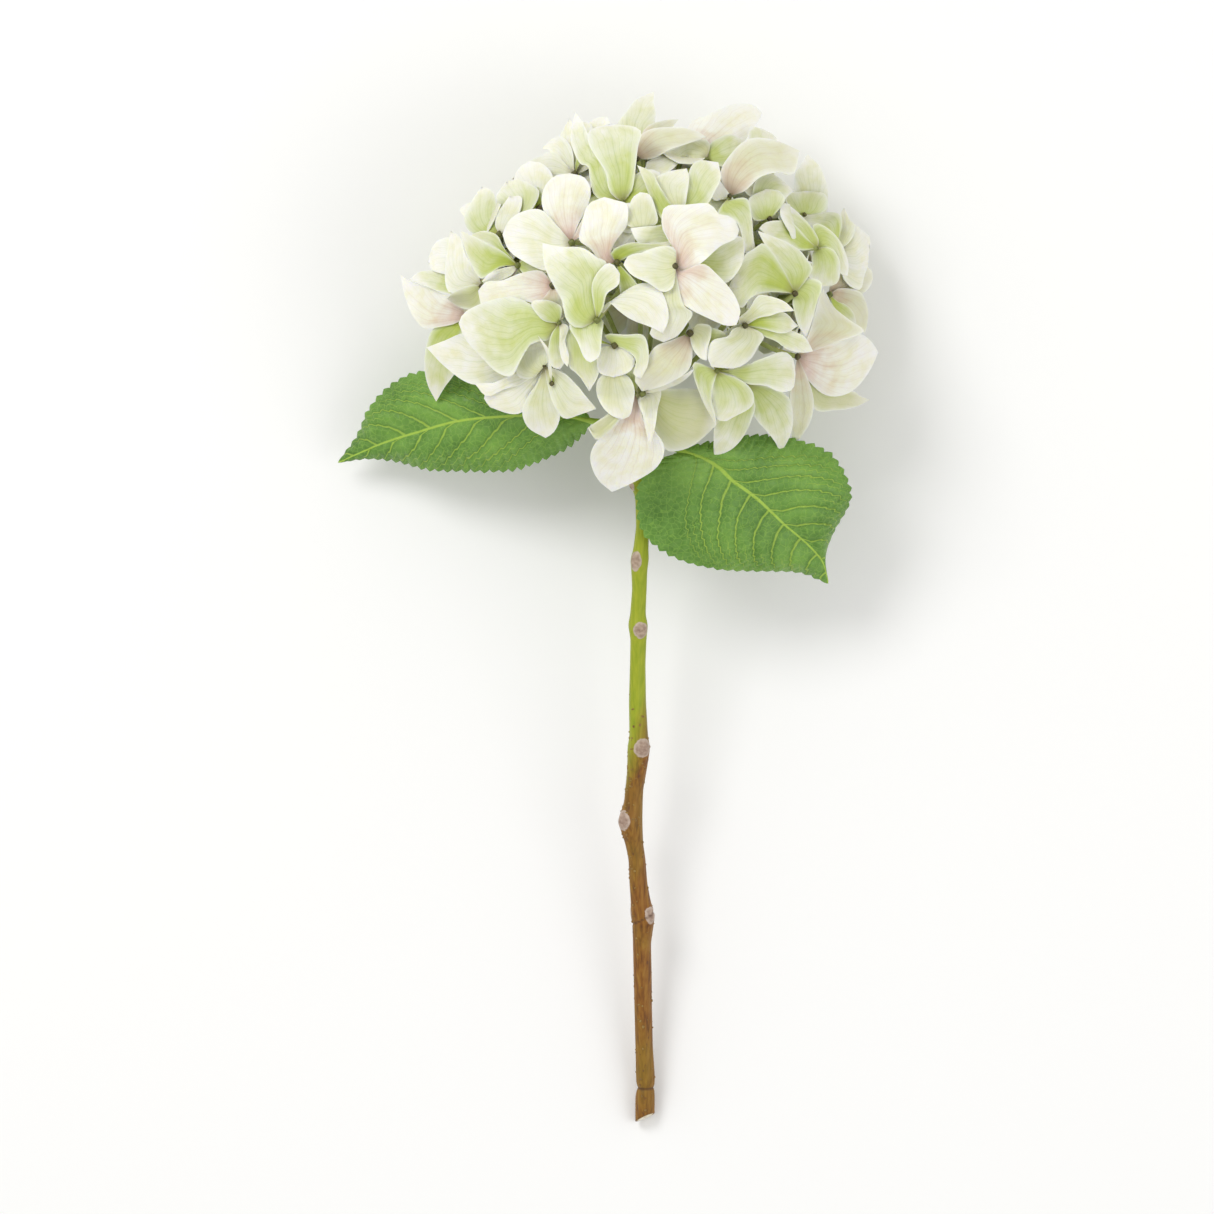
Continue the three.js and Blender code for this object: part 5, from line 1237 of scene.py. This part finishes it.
def sepal_mesh(sepals, seed, pile):
    """All sepals of one piece as points, faces, chart and values; a pile drapes them, lowest first."""
    points, faces, uv = [], [], []
    values = {key: [] for key in ("along", "rim", "lime", "rose", "olive_and_shade", "back", "own")}
    count = 0
    shapes = []
    for frame_of_sepal, arch, tint, level, floret in sepals:
        seed += 1
        shapes.append((sepal_grid(frame_of_sepal, arch, seed), tint, seed, level, floret))
    if pile:
        shapes.sort(key=lambda shape: shape[0][0][..., 2].mean() + shape[3])
    for (grid, t, s, lateral, distance), tint, own, _, floret in shapes:
        if pile:
            pile.lay(grid)
            pile.eye_tops[floret] = max(pile.eye_tops.get(floret, 0), grid[0, :, 2].mean())
        new_points, new_faces = thick_sheet(grid, SEPAL_THICKNESS, count)
        points.append(new_points)
        faces += new_faces
        count += len(new_points)
        place = np.stack([0.5 + lateral / SEPAL_CHART, distance / SEPAL_CHART], axis=-1).reshape(-1, 2)
        uv.append(np.tile(place, (2, 1)))
        rim = np.maximum(np.abs(s), (t - 0.5) * 2) ** 3
        for key, column in (("along", t), ("rim", rim)):
            values[key].append(np.tile(column.ravel(), 2))
        lime, rose, olive_and_shade = TINTS[tint]
        for key, number in (("lime", lime), ("rose", rose), ("olive_and_shade", olive_and_shade), ("own", noise(own))):
            values[key].append(np.full(len(new_points), number))
        values["back"].append(np.repeat([1.0, 0.0], grid.size // 3))
    return np.vstack(points), faces, np.vstack(uv), {key: np.concatenate(v) for key, v in values.items()}


def sepal_material():
    sepal = Nodes(
        "sepal", Roughness=0.5, Subsurface_Weight=0.6, Subsurface_Radius=(0.0032, 0.0030, 0.0015),
        Specular_IOR_Level=0.25)
    chart = sepal.chart()
    lateral, distance = sepal.parts(chart)
    shifted = sepal.moved(chart, 1, sepal.attribute("own"))
    along = sepal.attribute("along")
    # Veins fan out from the eye, finer ones between them and broad streaks under both.
    wander = sepal.clouds(9, 2, shifted)
    across = sepal.math("SUBTRACT", lateral, 0.5)
    angle = sepal.math("ARCTAN2", across, sepal.plus(distance, 0.012))
    angle = sepal.scaled(wander, 0.09, angle)

    def fan(turn, width):
        waves = sepal.math("ABSOLUTE", sepal.math("SINE", turn))
        return sepal.ramp(waves, (0.0, 1.0), (width, 0.0))

    finer = fan(sepal.scaled(angle, 76, sepal.times(wander, 9)), 0.3)
    finer = sepal.times(finer, sepal.ramp(along, (0.25, 0.0), (0.6, 0.7)))
    veins = sepal.math("MAXIMUM", fan(sepal.times(angle, 30), 0.22), finer)
    veins = sepal.times(veins, sepal.ramp(along, (0.05, 0.4), (0.3, 1.0), (0.75, 0.55), (1.0, 0.15)))
    streak = sepal.times(
        fan(sepal.times(angle, 11), 0.5), sepal.ramp(along, (0.05, 0.6), (0.3, 1.0), (0.85, 0.0)))
    # Cream body, lime and rose spreading from the base, and olive-grey over a whole sepal, which is painted
    # shade on the sepals that lie deep in the head.
    patch = sepal.clouds(11, 3, shifted)
    lime, rose, olive_and_shade = (sepal.attribute(key) for key in ("lime", "rose", "olive_and_shade"))
    body = sepal.ramp(
        patch, (0.3, (0.86, 0.84, 0.65)), (0.5, (0.90, 0.885, 0.79)), (0.7, (0.91, 0.90, 0.86)))
    # Partly painted shade: deep-lying sepals are tinted olive-grey all over as their shade; on rose and
    # lime sepals the tint is their own colour.
    body = sepal.mix(olive_and_shade, body, (0.60, 0.59, 0.36))
    near = sepal.plus(along, sepal.scaled(patch, 0.5, -0.25))
    lime_amount = sepal.times(lime, sepal.ramp(near, (0.0, 1.0), (0.3, 0.85), (0.6, 0.45), (0.95, 0.0)))
    colour = sepal.mix(lime_amount, body, (0.47, 0.565, 0.065))
    rose_amount = sepal.times(rose, sepal.ramp(near, (0.0, 1.0), (0.16, 0.7), (0.46, 0.0)))
    colour = sepal.mix(rose_amount, colour, (0.70, 0.43, 0.42))
    line = sepal.mix(rose, (0.38, 0.50, 0.10), (0.62, 0.34, 0.32))
    strength = sepal.scaled(sepal.plus(lime_amount, rose_amount), 0.55, 0.24)
    colour = sepal.mix(sepal.times(streak, sepal.times(strength, 0.55)), colour, line)
    colour = sepal.mix(sepal.times(veins, strength), colour, line)
    rim = sepal.ramp(sepal.attribute("rim"), (0.15, 0.0), (0.7, 0.4), (1.0, 0.75))
    colour = sepal.mix(rim, colour, (0.90, 0.91, 0.86))
    # Painted shade: every sepal darkens to brown at its base, round the floret's eye, where the head is
    # hollow.
    eye = sepal.ramp(along, (0.015, 0.9), (0.06, 0.4), (0.17, 0.0))
    colour = sepal.mix(eye, colour, (0.25, 0.18, 0.08))
    back = sepal.times(sepal.attribute("back"), 0.3)
    sepal.colour(sepal.mix(back, colour, (0.80, 0.85, 0.70)))
    sepal.bump(sepal.scaled(veins, -0.6, sepal.clouds(70, 3, shifted)), 0.4, 0.00035)
    return sepal.material


sepal_paper = sepal_material()
upper_pile = Pile()
for sepal_name, all_sepals, first_seed, pile in (
        ("sepals_upper", upper_sepals(), 100, upper_pile), ("sepals_lower", lower_sepals(), 700, None)):
    sepal_points, sepal_faces, sepal_uv, sepal_values = sepal_mesh(all_sepals, first_seed, pile)
    sepals = make_piece(sepal_name, sepal_points, sepal_faces, sepal_paper, sepal_uv, sepal_values)
    sepals.data.set_sharp_from_angle(angle=SHARP_ANGLE)
    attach(sepals, "root")
    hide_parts("flower_head")

# ---------------------------------------------------------------------------
# Stalks and eyes. Woody rays fan out from the top of the stem, each splits into
# thin pedicels, and every pedicel ends in a floret's eye, a small lobed bud.
# ---------------------------------------------------------------------------
# Where each ray ends and its pedicels begin.
RAY_ENDS = np.array([
    (0, 12, 98), (-36, -8, 86), (36, -8, 88), (-30, 24, 82), (34, 26, 84),
    (0, 46, 82), (2, -22, 90), (-30, 8, 40), (32, 8, 40), (0, 34, 40),
], dtype=float)
STEM_AXIS = unit(np.array([0, 1, STEM_SLOPE]))
STEM_TOP = np.array([0.4, -45, STEM_FOOT_HEIGHT + STEM_SLOPE * (-45 - STEM_ROWS[0][0])])
# The knot at the top of the stem: distance from the stem's end and radius.
HUB = [(0.3, 3.0), (1.6, 3.3), (3.7, 3.6)]
FORK = STEM_TOP + 3 * STEM_AXIS
STALK = {"ray": (2.0, 1.3), "pedicel": (0.85, 0.6), "points": 9, "bow": 0.12}
EYE = {
    "radius": 1.5, "lobes": 4, "lobe_depth": 0.16, "turn": 0.3, "rings": 9, "around": 24, "above": 0.85,
    "flat": 0.85, "top": 0.72, "bottom": -0.9, "scale": (0.55, 1.15)}


def bowed_path(start, end, bow, seed):
    """A line of points between two places, bent gently to one side."""
    t = np.linspace(0, 1, STALK["points"])[:, None]
    span = end - start
    aside = unit(np.cross(span, [noise(seed) - 0.5, noise(seed + 0.4) - 0.5, 0.3]))
    return start + span * t + aside * np.sin(math.pi * t) * bow * np.linalg.norm(span)


def floret_eyes():
    """Where each floret's eye lies once its sepals are laid, and which way it faces."""
    for floret, ((x, y), *_) in enumerate(FLORETS):
        yield np.array([x, y, upper_pile.eye_tops[floret] + EYE["above"]]), np.array([0, 0, 1.0])
    for eye, outward, *_ in ring_florets():
        yield eye + outward * EYE["above"], outward


def stalk_lines():
    """Edges that run along every ray and pedicel, with the stalk's radius at each point."""
    paths = [(STEM_TOP + np.outer([step for step, _ in HUB], STEM_AXIS), [radius for _, radius in HUB])]
    for k, end in enumerate(RAY_ENDS):
        path = bowed_path(FORK, end, STALK["bow"] / 2, 40 + k)
        paths.append((path, np.linspace(*STALK["ray"], len(path))))
    for k, (eye, outward) in enumerate(floret_eyes()):
        fork = RAY_ENDS[np.argmin(np.linalg.norm(RAY_ENDS - eye, axis=1))]
        path = bowed_path(fork, eye - outward * EYE["above"], STALK["bow"], 60 + k)
        paths.append((path, np.linspace(*STALK["pedicel"], len(path))))
    points, edges, radii = [], [], []
    for path, thick in paths:
        start = sum(len(part) for part in points)
        edges += [(start + k, start + k + 1) for k in range(len(path) - 1)]
        points.append(path)
        radii.append(thick)
    return np.vstack(points), edges, np.concatenate(radii)


def eye_bud():
    """A little bud with lobes, pointed on top, standing on the origin."""
    rows = np.linspace(0, math.pi, EYE["rings"])[1:-1]
    around = np.linspace(0, 2 * math.pi, EYE["around"], endpoint=False)
    down, turn = np.meshgrid(rows, around, indexing="ij")
    parting = np.abs(np.sin(turn * EYE["lobes"] / 2 + EYE["turn"])) ** 0.7
    lobe = 1 - EYE["lobe_depth"] * parting * np.sin(down) ** 0.6
    points = EYE["radius"] * np.stack([
        np.sin(down) * np.cos(turn) * lobe, np.sin(down) * np.sin(turn) * lobe, EYE["flat"] * np.cos(down),
    ], axis=-1).reshape(-1, 3)
    count = len(around)
    faces = ring_faces(len(rows), count, caps=False)
    top, bottom = len(points), len(points) + 1
    last = (len(rows) - 1) * count
    for k in range(count):
        faces.append((top, k, (k + 1) % count))
        faces.append((bottom, last + (k + 1) % count, last + k))
    ends = EYE["radius"] * np.array([[0, 0, EYE["top"]], [0, 0, EYE["bottom"]]])
    mesh = bpy.data.meshes.new("eye_bud")
    mesh.from_pydata((np.vstack([points, ends]) * MM).tolist(), [], faces)
    mesh.shade_smooth()
    return new_object("eye_bud", mesh)


def stalk_material():
    stalk = Nodes(
        "stalk", Roughness=0.5, Subsurface_Weight=0.1, Subsurface_Radius=(0.0006, 0.001, 0.0003))
    stalk.colour(stalk.ramp(
        stalk.clouds(160, 4), (0.3, (0.20, 0.235, 0.05)), (0.55, (0.33, 0.38, 0.10)),
        (0.8, (0.36, 0.22, 0.11))))
    stalk.bump(stalk.clouds(900, 3, stalk.place((1, 1, 0.3))), 0.4, 0.0002)
    return stalk.material


def eye_material():
    eye = Nodes("eye", Roughness=0.45)
    grain = eye.clouds(900, 4)
    ripe = eye.ramp(
        grain, (0.3, (0.035, 0.030, 0.008)), (0.55, (0.085, 0.070, 0.017)), (0.8, (0.16, 0.15, 0.03)))
    young = eye.ramp(grain, (0.3, (0.09, 0.11, 0.02)), (0.7, (0.22, 0.25, 0.05)))
    eye.colour(eye.mix(eye.ramp(eye.clouds(38, 0), (0.47, 0.0), (0.56, 0.85)), ripe, young))
    eye.bump(grain, 0.5, 0.0002)
    return eye.material


stalk_points, stalk_edges, stalk_radii = stalk_lines()
stalk_mesh = bpy.data.meshes.new("head_stalks")
stalk_mesh.from_pydata(((stalk_points + np.array(HEAD_PLACE)) * MM).tolist(), stalk_edges, [])
stalk_mesh.attributes.new("thickness", "FLOAT", "POINT").data.foreach_set("value", stalk_radii)
stalks = new_object("head_stalks", stalk_mesh)
growth = Growth("stalk tubes", Sides=("Int", 10), Bark=("Material", stalk_material()))
line = growth.add("GeometryNodeMeshToCurve", Mesh=growth.given("Geometry"))
sized = growth.add("GeometryNodeSetCurveRadius", Curve=line.outputs[0], Radius=growth.named("thickness"))
ring = growth.add("GeometryNodeCurvePrimitiveCircle", Resolution=growth.given("Sides"), Radius=MM)
tubes = growth.add(
    "GeometryNodeCurveToMesh", Curve=sized.outputs[0], Profile_Curve=ring.outputs[0], Fill_Caps=True)
growth.bake(stalks, tubes.outputs[0], "Bark")
stalks.data.shade_smooth()
stalks.data.set_sharp_from_angle(angle=SHARP_ANGLE)

eyes_at = list(floret_eyes())
eye_mesh = bpy.data.meshes.new("floret_eyes")
eye_mesh.from_pydata([tuple((place + np.array(HEAD_PLACE)) * MM) for place, _ in eyes_at], [], [])
facing = eye_mesh.attributes.new("facing", "FLOAT_VECTOR", "POINT")
facing.data.foreach_set("vector", np.array([outward for _, outward in eyes_at], dtype=np.float32).ravel())
eyes = new_object("floret_eyes", eye_mesh)
bud = eye_bud()
growth = Growth(
    "eyes on florets", Bud=("Object", bud), Smallest=("Float", EYE["scale"][0]),
    Largest=("Float", EYE["scale"][1]), Seed=("Int", 3), Skin=("Material", eye_material()))
source = growth.add("GeometryNodeObjectInfo", Object=growth.given("Bud"))
size_of = growth.add("FunctionNodeRandomValue", {"data_type": "FLOAT"}, Seed=growth.given("Seed"))
growth.tree.links.new(growth.given("Smallest"), size_of.inputs[2])
growth.tree.links.new(growth.given("Largest"), size_of.inputs[3])
upright = growth.add(
    "FunctionNodeAlignRotationToVector", {"axis": "Z"}, Vector=growth.named("facing", "FLOAT_VECTOR"))
placed = growth.add(
    "GeometryNodeInstanceOnPoints", Points=growth.given("Geometry"), Instance=source.outputs["Geometry"],
    Rotation=upright.outputs[0], Scale=size_of.outputs[1])
growth.bake(eyes, placed.outputs[0], "Skin")
bpy.data.objects.remove(bud)

for piece in (stalks, eyes):
    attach(piece, "root")
    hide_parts("flower_head")
